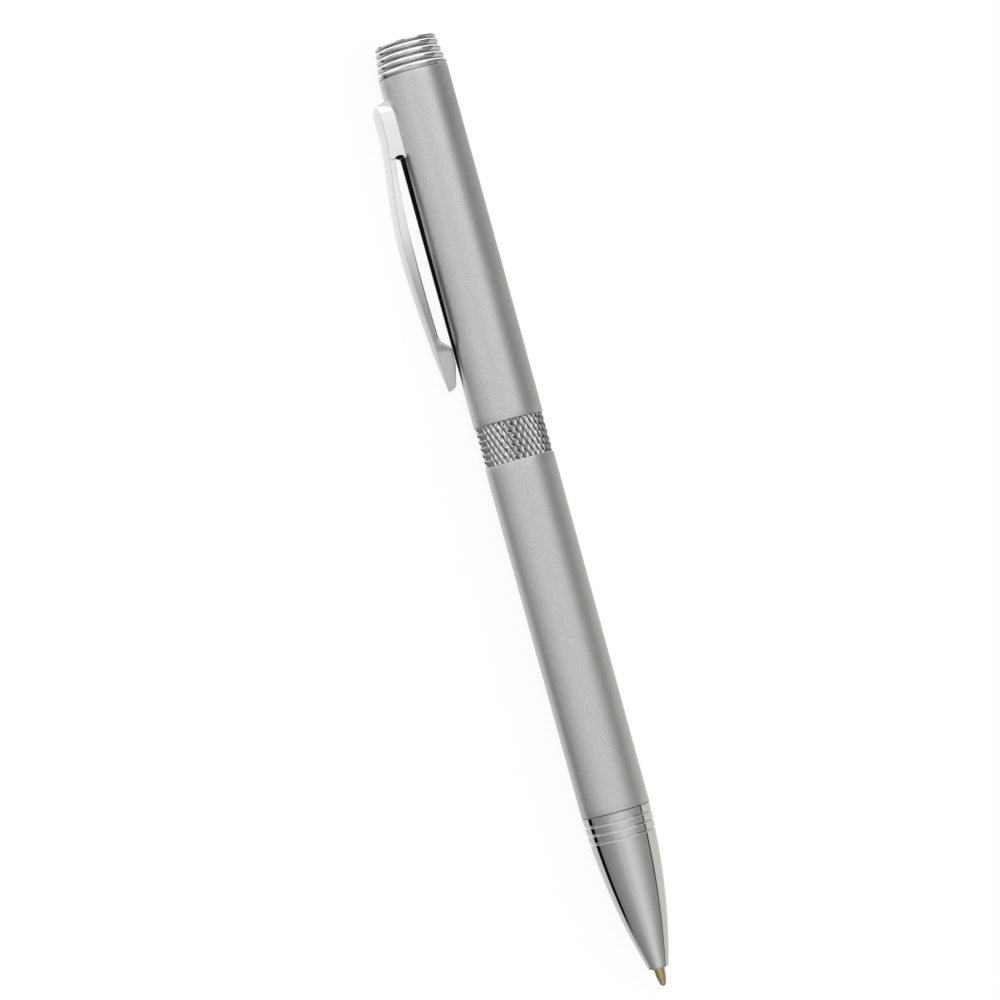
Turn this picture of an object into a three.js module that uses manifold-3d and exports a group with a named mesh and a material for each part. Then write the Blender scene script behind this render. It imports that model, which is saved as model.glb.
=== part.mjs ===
// Twist ballpoint pen, point out, lying on a table as it comes to rest: on its barrel and
// the lower corner of its clip.
// Millimetres, +Z up. Every piece is drawn about the pen's own axis, with z counted from the
// writing ball up to the finial and the clip on the +x side. The whole pen is then laid down
// along X with its point towards +X.

import * as THREE from 'three';
import { mergeVertices } from 'three/addons/utils/BufferGeometryUtils.js';
import Module from 'manifold-3d';

const wasm = await Module();
wasm.setup();

// Facets
const shellSides = 36;
const innerSides = 28;
const smallSides = 18;
const cutterReach = 1; // how far a cutter runs past what it cuts

// Clearances
const seatGap = 0.05; // between a pressed or screwed piece and its seat
const runGap = 0.05; // between pieces that turn or slide in each other
const seam = 0.06; // between two outer shells, end to end
const looseGap = 0.2; // round a tang or pin that needs room to move

// Refill, of the common metal type
const refillLength = 98.1;
const refillRadius = 2.9;
const refillWall = 0.3;
const neckRadius = 1.6;
const neckShoulder = 20.8; // from the ball to the shoulder that the spring pushes
const shoulderLength = 1.15;
const neckLength = 8.4;
const neckPlugLength = 3;
const shankRadius = 1.15;
const shankTaper = 1.1;
const shankTail = 3;
const tailRadius = 0.95;
const inkBore = 0.4;
const ballRadius = 0.4;
const rimHeight = 0.28;
const rimRadius = 0.46;
const pointRadius = 0.82; // where the point leaves the nose
const pointWaistHeight = 1.3; // the point narrows in two steps, here and at the cone
const pointWaistRadius = 0.69;
const pointConeHeight = 0.6;
const pointConeRadius = 0.51;
const ballPlay = 0.03; // between the ball and its socket
const cupSteps = 5;
const ballSides = 16;
const ballRows = 12;
const inkWayStep = 0.15; // how much narrower the ink's way is than the point's tail
const plugLength = 3;
const plugFlange = 0.95;
const plugNotch = 0.7;

// Twist mechanism
const refillTravel = 5;
const guideClearance = 0.15; // round the refill in the guide tube
const guideWall = 0.45;
const camWall = 0.9;
const pinRadius = 0.7;
const pinSlack = 0.1;
const slotMargin = 3.2; // sleeve left beyond the end of a slot
const slotSteps = 20;
const sliderLength = 9;
const pinFromSliderFoot = 2.8;
const guideTail = 2.4; // guide tube above the snap ring
const snapRingHeight = 0.6;
const snapRingWidth = 0.8;
const snapRingDepth = 0.2;
const snapRingOpening = 1.1; // radians
const washerHeight = 0.4;

// Shells
const barrelWall = 0.6;
const couplerWall = 0.45;
const couplerScrewLength = 9.7;
const flangeHeight = 2.3;
const oRingRadius = 0.22;
const oRingSides = 8;
const bushExtra = 1.5; // length of the barrel bush past the coupler's screw
const lowerLength = 51.9;
const lowerStep = 0.025; // how far the lower barrel's back end lies inside the upper barrel
const lowerTaper = 0.095;
const edgeChamfer = 0.08;

// Knurled centre ring
const ringLength = 5.8;
const ringInset = 0.125;
const knurlDepth = 0.24;
const knurlsAround = 34;
const knurlRows = 3;

// Nose cone
const pointReach = 2.64; // how far the point stands out of the nose
const noseLength = 23.26;
const noseInset = 0.03;
const noseEndRadius = 1.45;
const noseEndRound = 0.3;
const noseBulge = 0.76; // of the side's arc over its chord
const noseBoreClearance = 0.09;
const noseBoreLength = 3.4;
const springSeat = 7.7; // from the nose's end
const springRoom = 0.35;
const spigotLength = 6;
const grooveCount = 3;
const groovePitch = 1.25;
const grooveWidth = 0.34;
const grooveFloor = 0.14; // width of the flat floor
const grooveDepth = 0.16;
const noseRoundSteps = 2;
const noseSideSteps = 9;
const noseStepGrowth = 1.4; // the steps are shorter towards the end

// Return spring
const wireRadius = 0.2;
const springTurns = 8;
const springClearance = 0.3; // to the neck that it goes round
const turnSteps = 8;
const wireSides = 5;
const gapStepsPerTurn = 24; // for the printed gap between its turns

// Finial
const ridgeCount = 5;
const ridgePitch = 1.04;
const ridgeTop = 0.64; // height of the uppermost ridge
const ridgeStep = 0.15; // each ridge is this much smaller than the one below it
const ridgeGroove = 0.22;
const ridgeCrestFrom = 0.3; // shares of a ridge's height where its crest starts and ends
const ridgeCrestTo = 0.7;
const ridgeEaves = 0.9; // and where its upper slope ends
const topEaves = 0.95;
const finialSpigot = 2.6;
const studRadius = 1.5;
const studLength = 9.4;
const studDepth = 4.2; // in the finial
const retainerLength = 7.8;
const headRoom = 12.07; // between the guide tube and the clip retainer

// Clip
const clipTopDrop = 3; // from the barrel's top edge to the clip's top
const clipLength = 42.5;
const clipHeadHeight = 2.02; // above the barrel's surface
const clipCrestHeight = 3.8;
const clipEndHeight = 2.35;
const clipCrestFromEnd = 20;
const clipHeadFromTop = 3.7; // where the arm's slope starts
const bowPower = 1.5; // how sharply the outer face climbs from the end
const neckPower = 1.15; // and how early it sinks to the head
const headHalfWidth = 1.9;
const waistHalfWidth = 1.25;
const taperLength = 7;
const taperPower = 0.55;
const endHalfWidth = 0.12;
const footHalfWidth = 1.45;
const footLength = 8.6;
const headRound = 2.6; // length of the round end, seen from above
const headCrown = 1.2; // radius of its top edge, seen from the side
const clipCrown = 0.16;
const clipEdge = 0.22;
const armThin = 0.9;
const armThick = 1.45;
const archRadius = 0.75;
const bossGap = 0.5;
const bossRamp = 0.19; // rise per millimetre towards the clip's end
const bossFrom = 3.6;
const bossTo = 5.7;
const bossRise = 1.9;
const endRound = 0.7;
const endThickness = 0.3;
const armSteps = 16;
const armStepGrowth = 1.2;
const bossSteps = 5;
const footSteps = 4;
const headRoundSteps = 7;
const seatSides = 72;
const tangHalfWidth = 0.9;
const tangHeight = 4.6;
const tangFromTop = 1.5;
const tangDepth = 1.5; // past the barrel's outer surface

// Radii that follow from the refill outwards
const guideBore = refillRadius + guideClearance;
const guideRadius = guideBore + guideWall;
const camBore = guideRadius + runGap;
const camRadius = camBore + camWall;
const barrelBore = camRadius + seatGap;
const barrelRadius = barrelBore + barrelWall;
const couplerRadius = camBore + couplerWall;
const ringBore = couplerRadius + seatGap;
const ringRadius = barrelRadius - ringInset;
const lowerBackRadius = barrelRadius - lowerStep;
const lowerFrontRadius = lowerBackRadius - lowerTaper;
const noseBackRadius = lowerFrontRadius - noseInset;

// Heights, from the ball
const noseEnd = pointReach;
const noseBack = noseEnd + noseLength;
const ringFoot = noseBack + lowerLength;
const ringTop = ringFoot + ringLength;
const flangeTop = ringTop + flangeHeight;
const camFoot = flangeTop + washerHeight + 2 * seam;
const pinLow = refillLength + seatGap + pinFromSliderFoot;
const camTop = pinLow + refillTravel + slotMargin;
const snapRingFoot = camTop + washerHeight + 2 * seam;
const guideTop = snapRingFoot + snapRingHeight + guideTail;
const retainerFoot = guideTop + headRoom;
const finialFoot = retainerFoot + retainerLength + finialSpigot + seam;
const finialTop = finialFoot + ridgeTop + (ridgeCount - 1) * ridgePitch;
const clipTop = finialFoot - clipTopDrop;
const clipEnd = clipTop - clipLength;

// Shape helpers

function closedGeometry(geometry) {
  // Drops everything but places, joins equal corners and leaves out faces with no area.
  const bare = new THREE.BufferGeometry();
  bare.setAttribute('position', geometry.attributes.position);
  bare.setIndex(geometry.index);
  const merged = mergeVertices(bare, 1e-5);
  const corners = merged.index.array;
  const kept = [];
  for (let i = 0; i < corners.length; i += 3) {
    const [a, b, c] = [corners[i], corners[i + 1], corners[i + 2]];
    if (a !== b && b !== c && c !== a) kept.push(a, b, c);
  }
  merged.setIndex(kept);
  return merged;
}

function solidOf(geometry) {
  const closed = closedGeometry(geometry);
  return new wasm.Manifold(new wasm.Mesh({
    numProp: 3,
    vertProperties: new Float32Array(closed.attributes.position.array),
    triVerts: new Uint32Array(closed.index.array),
  }));
}

function geometryOf(solid) {
  const mesh = solid.getMesh();
  const geometry = new THREE.BufferGeometry();
  geometry.setAttribute('position', new THREE.BufferAttribute(new Float32Array(mesh.vertProperties), 3));
  geometry.setIndex(Array.from(mesh.triVerts));
  return geometry;
}

function turned(outline, sides) {
  // Revolves [radius, height] points, given with the outer wall going up, about the pen's axis.
  const points = outline.map(([radius, height]) => new THREE.Vector2(radius, height));
  return closedGeometry(new THREE.LatheGeometry(points, sides).rotateX(Math.PI / 2));
}

function tube(inner, outer, low, high, sides, chamfer = 0) {
  return turned([
    [inner, low],
    [outer - chamfer, low],
    [outer, low + chamfer],
    [outer, high - chamfer],
    [outer - chamfer, high],
    [inner, high],
    [inner, low],
  ], sides);
}

function block(width, depth, height, x, y, z) {
  return new THREE.BoxGeometry(width, depth, height).translate(x, y, z);
}

function crossRod(radius, length, z) {
  // A rod along y through the axis.
  return new THREE.CylinderGeometry(radius, radius, length, smallSides).translate(0, 0, z);
}

function gridSurface(rows, columns, pointAt, capped) {
  // Joins rows of points, each row a closed loop, and caps the first and last loop or joins them
  // to each other.
  const places = [];
  const faces = [];
  for (let i = 0; i < rows; i += 1) {
    for (let j = 0; j < columns; j += 1) places.push(...pointAt(i, j));
  }
  const at = (i, j) => (i % rows) * columns + (j % columns);
  const lastRow = capped ? rows - 1 : rows;
  for (let i = 0; i < lastRow; i += 1) {
    for (let j = 0; j < columns; j += 1) {
      const corners = [at(i, j), at(i, j + 1), at(i + 1, j + 1), at(i + 1, j)];
      const turn = (i + j) % 2;
      const [a, b, c, d] = [0, 1, 2, 3].map((k) => corners[(k + turn) % 4]);
      faces.push(a, b, d, b, c, d);
    }
  }
  if (capped) {
    for (let j = 1; j < columns - 1; j += 1) {
      faces.push(at(0, 0), at(0, j + 1), at(0, j));
      faces.push(at(rows - 1, 0), at(rows - 1, j), at(rows - 1, j + 1));
    }
  }
  const geometry = new THREE.BufferGeometry();
  geometry.setAttribute('position', new THREE.Float32BufferAttribute(places, 3));
  geometry.setIndex(faces);
  return geometry;
}

function smooth(share) {
  // Rises from 0 to 1 with level ends.
  const held = THREE.MathUtils.clamp(share, 0, 1);
  return held * held * (3 - 2 * held);
}

// Finishes

const satinSilver = { color: 0xb9b9b5, roughness: 0.42, metalness: 0.9 };
const chrome = { color: 0xdcdcdc, roughness: 0.08, metalness: 1 };
const brass = { color: 0xb8a27a, roughness: 0.28, metalness: 0.95 };
const steel = { color: 0xa8a9ab, roughness: 0.3, metalness: 0.95 };
const carbide = { color: 0x6f7073, roughness: 0.2, metalness: 0.9 };
const acetal = { color: 0xe9e7df, roughness: 0.5, metalness: 0 };
const nitrile = { color: 0x1c1c1c, roughness: 0.85, metalness: 0 };

function piece(name, geometry, finish) {
  const shown = geometry.index ? geometry.toNonIndexed() : geometry;
  shown.computeVertexNormals();
  const mesh = new THREE.Mesh(shown, new THREE.MeshStandardMaterial(finish));
  mesh.name = name;
  return mesh;
}

// Nose cone: the side is one arc, bulging over the chord from the rounded end to the barrel

function noseRadius(height) {
  const rise = noseBackRadius - noseEndRadius;
  const chord = Math.hypot(rise, noseLength);
  const arcRadius = (chord * chord / 4 + noseBulge * noseBulge) / (2 * noseBulge);
  const back = (arcRadius - noseBulge) / chord;
  const centreRadius = (noseEndRadius + noseBackRadius) / 2 - back * noseLength;
  const centreHeight = (noseEnd + noseBack) / 2 + back * rise;
  return centreRadius + Math.sqrt(arcRadius ** 2 - (height - centreHeight) ** 2);
}

function noseCone() {
  const bore = pointRadius + noseBoreClearance;
  const springBore = neckRadius + springClearance + 2 * wireRadius + springRoom;
  const backBore = refillRadius + springRoom;
  const spigot = barrelBore - seatGap;
  const seatHeight = noseEnd + springSeat;
  const outline = [[bore, noseEnd]];
  for (let k = 0; k <= noseRoundSteps; k += 1) {
    const angle = (k / noseRoundSteps) * (Math.PI / 2);
    const inward = noseEndRound * (1 - Math.sin(angle));
    const height = noseEnd + noseEndRound * (1 - Math.cos(angle));
    outline.push([noseRadius(noseEnd + noseEndRound) - inward, height]);
  }
  const firstGroove = noseBack - grooveCount * groovePitch;
  const sideStart = noseEnd + noseEndRound;
  const sideEnd = firstGroove - groovePitch / 2;
  for (let k = 1; k <= noseSideSteps; k += 1) {
    const height = sideStart + (sideEnd - sideStart) * (k / noseSideSteps) ** noseStepGrowth;
    outline.push([noseRadius(height), height]);
  }
  for (let k = 0; k < grooveCount; k += 1) {
    const middle = firstGroove + k * groovePitch;
    const [lowEdge, highEdge] = [middle - grooveWidth / 2, middle + grooveWidth / 2];
    const [lowFloor, highFloor] = [middle - grooveFloor / 2, middle + grooveFloor / 2];
    outline.push(
      [noseRadius(lowEdge), lowEdge],
      [noseRadius(lowFloor) - grooveDepth, lowFloor],
      [noseRadius(highFloor) - grooveDepth, highFloor],
      [noseRadius(highEdge), highEdge],
    );
  }
  outline.push(
    [noseRadius(noseBack), noseBack],
    [spigot, noseBack],
    [spigot, noseBack + spigotLength - seatGap],
    [backBore, noseBack + spigotLength - seatGap],
    [backBore, neckShoulder - seatGap],
    [springBore, neckShoulder - (backBore - springBore)],
    [springBore, seatHeight],
    [shankRadius + looseGap, seatHeight],
    [shankRadius + looseGap, noseEnd + noseBoreLength + shankTaper],
    [bore, noseEnd + noseBoreLength],
    [bore, noseEnd],
  );
  return turned(outline, shellSides);
}

// Barrels

function lowerBarrel() {
  const low = noseBack + seam;
  const high = ringFoot - seam;
  return turned([
    [barrelBore, low],
    [lowerFrontRadius - edgeChamfer, low],
    [lowerFrontRadius, low + edgeChamfer],
    [lowerBackRadius, high - edgeChamfer],
    [lowerBackRadius - edgeChamfer, high],
    [barrelBore, high],
    [barrelBore, low],
  ], shellSides);
}

function clipSlot() {
  const middle = clipTop - tangFromTop - tangHeight / 2;
  const depth = barrelWall + tangDepth + 2 * looseGap;
  return block(
    2 * depth,
    2 * (tangHalfWidth + looseGap),
    tangHeight + 2 * looseGap,
    barrelRadius - tangDepth - looseGap + depth,
    0,
    middle,
  );
}

function upperBarrel() {
  const shell = tube(barrelBore, barrelRadius, ringTop + seam, finialFoot - seam, shellSides, edgeChamfer);
  return geometryOf(solidOf(shell).subtract(solidOf(clipSlot())));
}

// Centre ring: a lattice of pyramids, with the peaks and the crossings of the grooves taking turns

function centreRing() {
  const levels = 2 * knurlRows;
  const columns = 2 * knurlsAround;
  const low = ringFoot + seam;
  const high = ringTop - seam;
  const rows = levels + 3;
  return gridSurface(rows, columns, (i, j) => {
    const angle = (j / columns) * 2 * Math.PI;
    const outer = i <= levels;
    const groove = (i + j) % 2 === 1;
    const knurled = groove ? ringRadius - knurlDepth : ringRadius;
    const radius = outer ? knurled : ringBore;
    const height = outer ? low + (high - low) * (i / levels) : [high, low][i - levels - 1];
    return [radius * Math.cos(angle), radius * Math.sin(angle), height];
  }, false);
}

// Screwed joint between the two halves

function barrelBush() {
  const high = ringFoot - 2 * seam;
  const low = high - couplerScrewLength - bushExtra;
  return tube(ringBore, barrelBore - seatGap, low, high, innerSides);
}

function coupler() {
  const flange = barrelBore - runGap;
  const groove = flange - 2 * oRingRadius;
  const middle = (ringTop + seam + flangeTop) / 2;
  return turned([
    [camBore, ringFoot - couplerScrewLength],
    [couplerRadius, ringFoot - couplerScrewLength],
    [couplerRadius, ringTop],
    [flange, ringTop],
    [flange, middle - oRingRadius - seam],
    [groove, middle - oRingRadius - seam],
    [groove, middle + oRingRadius + seam],
    [flange, middle + oRingRadius + seam],
    [flange, flangeTop],
    [camBore, flangeTop],
    [camBore, ringFoot - couplerScrewLength],
  ], innerSides);
}

function frictionRing() {
  const middle = (ringTop + seam + flangeTop) / 2;
  const centre = barrelBore - runGap - oRingRadius + seatGap / 2;
  const ring = new THREE.TorusGeometry(centre, oRingRadius - seatGap / 2, oRingSides, innerSides);
  return closedGeometry(ring.translate(0, 0, middle));
}

function guideTube() {
  const low = ringFoot - couplerScrewLength;
  const groove = guideRadius - snapRingDepth;
  const shell = turned([
    [guideBore, low],
    [guideRadius, low],
    [guideRadius, snapRingFoot - seam],
    [groove, snapRingFoot - seam],
    [groove, snapRingFoot + snapRingHeight + seam],
    [guideRadius, snapRingFoot + snapRingHeight + seam],
    [guideRadius, guideTop],
    [guideBore, guideTop],
    [guideBore, low],
  ], innerSides);
  const slotWidth = 2 * (pinRadius + pinSlack);
  const slot = block(
    slotWidth,
    4 * guideRadius,
    refillTravel + slotWidth,
    0,
    0,
    pinLow + refillTravel / 2,
  );
  return geometryOf(solidOf(shell).subtract(solidOf(slot)));
}

// Cam sleeve: each of its two slots climbs by the refill's travel in half a turn

function helixCutter(startAngle) {
  const meanRadius = (camBore + camRadius) / 2;
  const slope = Math.atan2(refillTravel, Math.PI * meanRadius);
  const halfHeight = (pinRadius + pinSlack) / Math.cos(slope);
  const near = camBore - 2 * runGap - guideWall;
  const far = camRadius + camWall;
  const section = [[near, -halfHeight], [far, -halfHeight], [far, halfHeight], [near, halfHeight]];
  return gridSurface(slotSteps + 1, section.length, (i, j) => {
    const share = i / slotSteps;
    const angle = startAngle - share * Math.PI;
    const [radius, offset] = section[j];
    const height = pinLow + share * refillTravel + offset;
    return [radius * Math.cos(angle), radius * Math.sin(angle), height];
  }, true);
}

function camSleeve() {
  const slotRadius = pinRadius + pinSlack;
  const sleeve = tube(camBore, camRadius, camFoot, camTop, shellSides);
  const across = 4 * camRadius;
  return geometryOf(
    solidOf(sleeve)
      .subtract(solidOf(helixCutter(Math.PI / 2)))
      .subtract(solidOf(helixCutter(-Math.PI / 2)))
      .subtract(solidOf(crossRod(slotRadius, across, pinLow)))
      .subtract(solidOf(crossRod(slotRadius, across, pinLow + refillTravel))),
  );
}

function slider() {
  const low = refillLength + seatGap;
  const radius = guideBore - runGap;
  const rod = turned([
    [0, low],
    [radius - edgeChamfer, low],
    [radius, low + edgeChamfer],
    [radius, low + sliderLength - edgeChamfer],
    [radius - edgeChamfer, low + sliderLength],
    [0, low + sliderLength],
  ], innerSides);
  return geometryOf(solidOf(rod).subtract(solidOf(crossRod(pinRadius + seatGap, 4 * radius, pinLow))));
}

function snapRing() {
  const inner = guideRadius - snapRingDepth + seatGap;
  const outer = inner + snapRingWidth;
  const arc = 2 * Math.PI - snapRingOpening;
  const low = snapRingFoot;
  const high = snapRingFoot + snapRingHeight;
  const section = [[inner, low], [inner, high], [outer, high], [outer, low]];
  return gridSurface(innerSides, section.length, (i, j) => {
    const angle = snapRingOpening / 2 + arc * (i / (innerSides - 1));
    const [radius, height] = section[j];
    return [radius * Math.cos(angle), radius * Math.sin(angle), height];
  }, true);
}

// Refill

function refillTube() {
  return tube(refillRadius - refillWall, refillRadius, neckShoulder + shoulderLength + seam,
    refillLength - plugFlange - seam, innerSides);
}

function refillPlug() {
  const low = refillLength - plugLength;
  const stem = refillRadius - refillWall - seatGap;
  const body = turned([
    [0, low],
    [stem, low],
    [stem, refillLength - plugFlange],
    [refillRadius, refillLength - plugFlange],
    [refillRadius, refillLength],
    [0, refillLength],
  ], innerSides);
  const notchDepth = plugFlange / 2;
  const height = refillLength - notchDepth / 2 + seam / 2;
  const across = block(3 * refillRadius, plugNotch, notchDepth + seam, 0, 0, height);
  const along = block(plugNotch, 3 * refillRadius, notchDepth + seam, 0, 0, height);
  return geometryOf(solidOf(body).subtract(solidOf(across)).subtract(solidOf(along)));
}

function refillNeck() {
  const foot = neckShoulder - neckLength;
  const plug = refillRadius - refillWall - seatGap;
  const shoulderTop = neckShoulder + shoulderLength;
  const bore = tailRadius + seatGap;
  const inkWay = tailRadius - inkWayStep;
  return turned([
    [bore, foot],
    [neckRadius - edgeChamfer, foot],
    [neckRadius, foot + edgeChamfer],
    [neckRadius, neckShoulder],
    [refillRadius, neckShoulder],
    [refillRadius, shoulderTop],
    [plug, shoulderTop],
    [plug, shoulderTop + neckPlugLength],
    [inkWay, shoulderTop + neckPlugLength],
    [inkWay, foot + shankTail + seam],
    [bore, foot + shankTail + seam],
    [bore, foot],
  ], innerSides);
}

function refillPoint() {
  const foot = neckShoulder - neckLength - seam;
  const socket = ballRadius + ballPlay;
  const shankFoot = noseEnd + noseBoreLength + looseGap;
  const outline = [];
  const rimAngle = Math.asin((ballRadius - rimHeight) / socket);
  const backAngle = Math.acos(inkBore / 2 / socket);
  for (let k = cupSteps; k >= 0; k -= 1) {
    const angle = -rimAngle + (backAngle + rimAngle) * (k / cupSteps);
    outline.push([socket * Math.cos(angle), ballRadius + socket * Math.sin(angle)]);
  }
  outline.push(
    [rimRadius, rimHeight],
    [pointConeRadius, pointConeHeight],
    [pointWaistRadius, pointWaistHeight],
    [pointRadius, noseEnd],
    [pointRadius, shankFoot],
    [shankRadius, shankFoot + shankTaper],
    [shankRadius, foot],
    [tailRadius, foot],
    [tailRadius, foot + shankTail],
    [inkBore, foot + shankTail],
    [inkBore, shankFoot],
    [inkBore / 2, shankFoot - shankTaper],
    outline[0],
  );
  return turned(outline, smallSides);
}

// Return spring: one open helix between the nose's seat and the refill's shoulder

function springCentre(turn) {
  const low = noseEnd + springSeat + wireRadius + seatGap;
  const high = neckShoulder - wireRadius - seatGap;
  const radius = neckRadius + springClearance + wireRadius;
  const angle = turn * 2 * Math.PI;
  const height = low + (high - low) * (turn / springTurns);
  return new THREE.Vector3(radius * Math.cos(angle), radius * Math.sin(angle), height);
}

function returnSpring() {
  const steps = springTurns * turnSteps;
  return gridSurface(steps + 1, wireSides, (i, j) => {
    const turn = i / turnSteps;
    const centre = springCentre(turn);
    const out = new THREE.Vector3(centre.x, centre.y, 0).normalize();
    const up = new THREE.Vector3(0, 0, 1);
    const angle = (j / wireSides) * 2 * Math.PI;
    const place = centre
      .addScaledVector(out, wireRadius * Math.cos(angle))
      .addScaledVector(up, -wireRadius * Math.sin(angle));
    return place.toArray();
  }, true);
}

function springSelfGap() {
  // Least distance between wire centres at least half a turn apart, less the wire.
  const steps = springTurns * gapStepsPerTurn;
  let least = Infinity;
  for (let a = 0; a <= steps; a += 1) {
    const centre = springCentre(a / gapStepsPerTurn);
    for (let b = a + gapStepsPerTurn / 2; b <= steps; b += 1) {
      least = Math.min(least, centre.distanceTo(springCentre(b / gapStepsPerTurn)));
    }
  }
  return least - 2 * wireRadius;
}

// Finial: rounded ridges, each a little smaller than the one below

function finial() {
  const spigot = barrelBore - seatGap;
  const bore = studRadius + seatGap;
  const low = finialFoot - finialSpigot;
  const outline = [[bore, low], [spigot, low], [spigot, finialFoot]];
  for (let k = 0; k < ridgeCount; k += 1) {
    const top = k === ridgeCount - 1;
    const radius = barrelRadius - k * ridgeStep;
    const foot = finialFoot + k * ridgePitch;
    const height = top ? ridgeTop : ridgePitch;
    outline.push(
      [radius - (k === 0 ? edgeChamfer : ridgeGroove), foot],
      [radius, foot + ridgeCrestFrom * height],
      [radius, foot + ridgeCrestTo * height],
      [radius - ridgeGroove, foot + height * (top ? topEaves : ridgeEaves)],
    );
  }
  const crown = barrelRadius - (ridgeCount - 1) * ridgeStep - 2 * ridgeGroove;
  outline.push(
    [crown, finialTop],
    [0, finialTop],
    [0, finialFoot + studDepth - finialSpigot],
    [bore, finialFoot + studDepth - finialSpigot],
    [bore, low],
  );
  return turned(outline, shellSides);
}

function finialStud() {
  const high = finialFoot + studDepth - finialSpigot - seatGap;
  const low = high - studLength;
  return turned([
    [0, low],
    [studRadius - edgeChamfer, low],
    [studRadius, low + edgeChamfer],
    [studRadius, high - edgeChamfer],
    [studRadius - edgeChamfer, high],
    [0, high],
  ], smallSides);
}

function clipRetainer() {
  const plug = tube(studRadius + seatGap, barrelBore - seatGap, retainerFoot,
    retainerFoot + retainerLength, innerSides);
  return geometryOf(solidOf(plug).subtract(solidOf(clipSlot())));
}

// Clip: an arm bowed away from the barrel, with a boss by its end, and a foot seated on the barrel

function clipOuter(height) {
  const fromEnd = height - clipEnd;
  const crest = barrelRadius + clipCrestHeight;
  if (fromEnd <= clipCrestFromEnd) {
    const fall = clipCrestHeight - clipEndHeight;
    return crest - fall * (1 - fromEnd / clipCrestFromEnd) ** bowPower;
  }
  const slope = clipLength - clipHeadFromTop - clipCrestFromEnd;
  const share = Math.min(1, (fromEnd - clipCrestFromEnd) / slope);
  return crest - (clipCrestHeight - clipHeadHeight) * smooth(share ** neckPower);
}

function clipHalfWidth(height) {
  const fromEnd = height - clipEnd;
  const long = clipLength - headRound - taperLength;
  const share = Math.max(0, fromEnd - taperLength) / long;
  const side = waistHalfWidth + (headHalfWidth - waistHalfWidth) * Math.min(1, share);
  if (fromEnd < taperLength) return Math.max(endHalfWidth, side * (fromEnd / taperLength) ** taperPower);
  const intoRound = Math.max(0, fromEnd - (clipLength - headRound)) / headRound;
  return Math.max(endHalfWidth, side * Math.sqrt(Math.max(0, 1 - intoRound ** 2)));
}

function armThickness(height) {
  const fromEnd = height - clipEnd;
  const low = fromEnd < clipCrestFromEnd ? clipEndHeight : clipHeadHeight;
  const bow = (clipOuter(height) - barrelRadius - low) / (clipCrestHeight - low);
  return armThin + (armThick - armThin) * bow ** 2;
}

function clipInner(height) {
  // The arm's inner side, lowered at the boss, which climbs again to the clip's rounded end.
  const fromEnd = height - clipEnd;
  const outer = clipOuter(height);
  const arm = outer - armThickness(height);
  const ramp = barrelRadius + bossGap + bossRamp * Math.max(0, bossFrom - fromEnd);
  const boss = ramp + (arm - ramp) * smooth((fromEnd - bossTo) / bossRise);
  const tip = Math.max(0, 1 - fromEnd / endRound) ** 2;
  return boss + (outer - endThickness - boss) * tip;
}

function clipSection(outer, inner, half, footHalf) {
  // A crowned bar with eased corners, as [reach, side] points. The crown is a parabola, which
  // falls by a quarter of its height at half of the width.
  const edge = Math.min(clipEdge, half / 3);
  const crown = clipCrown * (half / headHalfWidth);
  return [
    [inner, -footHalf + edge / 2],
    [inner, footHalf - edge / 2],
    [inner + edge, footHalf],
    [outer - crown - edge, half],
    [outer - crown, half - edge],
    [outer - crown / 4, half / 2],
    [outer, 0],
    [outer - crown / 4, -half / 2],
    [outer - crown, -half + edge],
    [outer - crown - edge, -half],
    [inner + edge, -footHalf],
  ].reverse();
}

function clipLoft(heights, sectionAt) {
  const sections = heights.map((height) => sectionAt(height));
  return gridSurface(heights.length, sections[0].length, (i, j) => {
    const [reach, side] = sections[i][j];
    return [reach, side, heights[i]];
  }, true);
}

function spread(low, high, steps, power = 1) {
  return Array.from({ length: steps + 1 }, (unused, k) => low + (high - low) * (k / steps) ** power);
}

function clipArm() {
  const bossEnd = clipEnd + bossTo + bossRise;
  const heights = [
    ...spread(clipEnd, clipEnd + endRound, 2),
    ...spread(clipEnd + endRound, clipEnd + bossTo, bossSteps).slice(1),
    ...spread(clipEnd + bossTo, bossEnd, bossSteps).slice(1),
    ...spread(bossEnd, clipTop - headRound, armSteps, armStepGrowth).slice(1),
  ];
  return clipLoft(heights, (height) => {
    const half = clipHalfWidth(height);
    return clipSection(clipOuter(height), clipInner(height), half, half);
  });
}

function clipHead() {
  const foot = clipTop - footLength;
  const straight = spread(foot, clipTop - headRound, footSteps);
  const round = spread(0, Math.PI / 2, headRoundSteps).slice(1)
    .map((angle) => clipTop - headRound * (1 - Math.sin(angle)));
  return clipLoft([...straight, ...round], (height) => {
    const half = clipHalfWidth(height);
    const drop = Math.max(0, height - (clipTop - headCrown)) / headCrown;
    const outer = clipOuter(height) - headCrown * (1 - Math.sqrt(Math.max(0, 1 - drop ** 2)));
    const footHalf = half * (footHalfWidth / headHalfWidth);
    return clipSection(outer, barrelRadius - 2 * barrelWall, half, footHalf);
  });
}

function clip() {
  const tangMiddle = clipTop - tangFromTop - tangHeight / 2;
  const tangInner = barrelRadius - tangDepth;
  const tangOuter = barrelRadius + clipHeadHeight / 2;
  const tang = block(tangOuter - tangInner, 2 * tangHalfWidth, tangHeight,
    (tangInner + tangOuter) / 2, 0, tangMiddle);
  const arch = new THREE.CylinderGeometry(archRadius, archRadius, 4 * headHalfWidth, smallSides)
    .translate(barrelRadius + archRadius, 0, clipTop - footLength - archRadius / 2);
  const seat = tube(0, barrelRadius + seam, clipEnd - cutterReach, clipTop + cutterReach, seatSides);
  return geometryOf(
    solidOf(clipHead())
      .subtract(solidOf(arch))
      .subtract(solidOf(seat))
      .add(solidOf(clipArm()))
      .add(solidOf(tang)),
  );
}

// Pieces that stay still together

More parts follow.
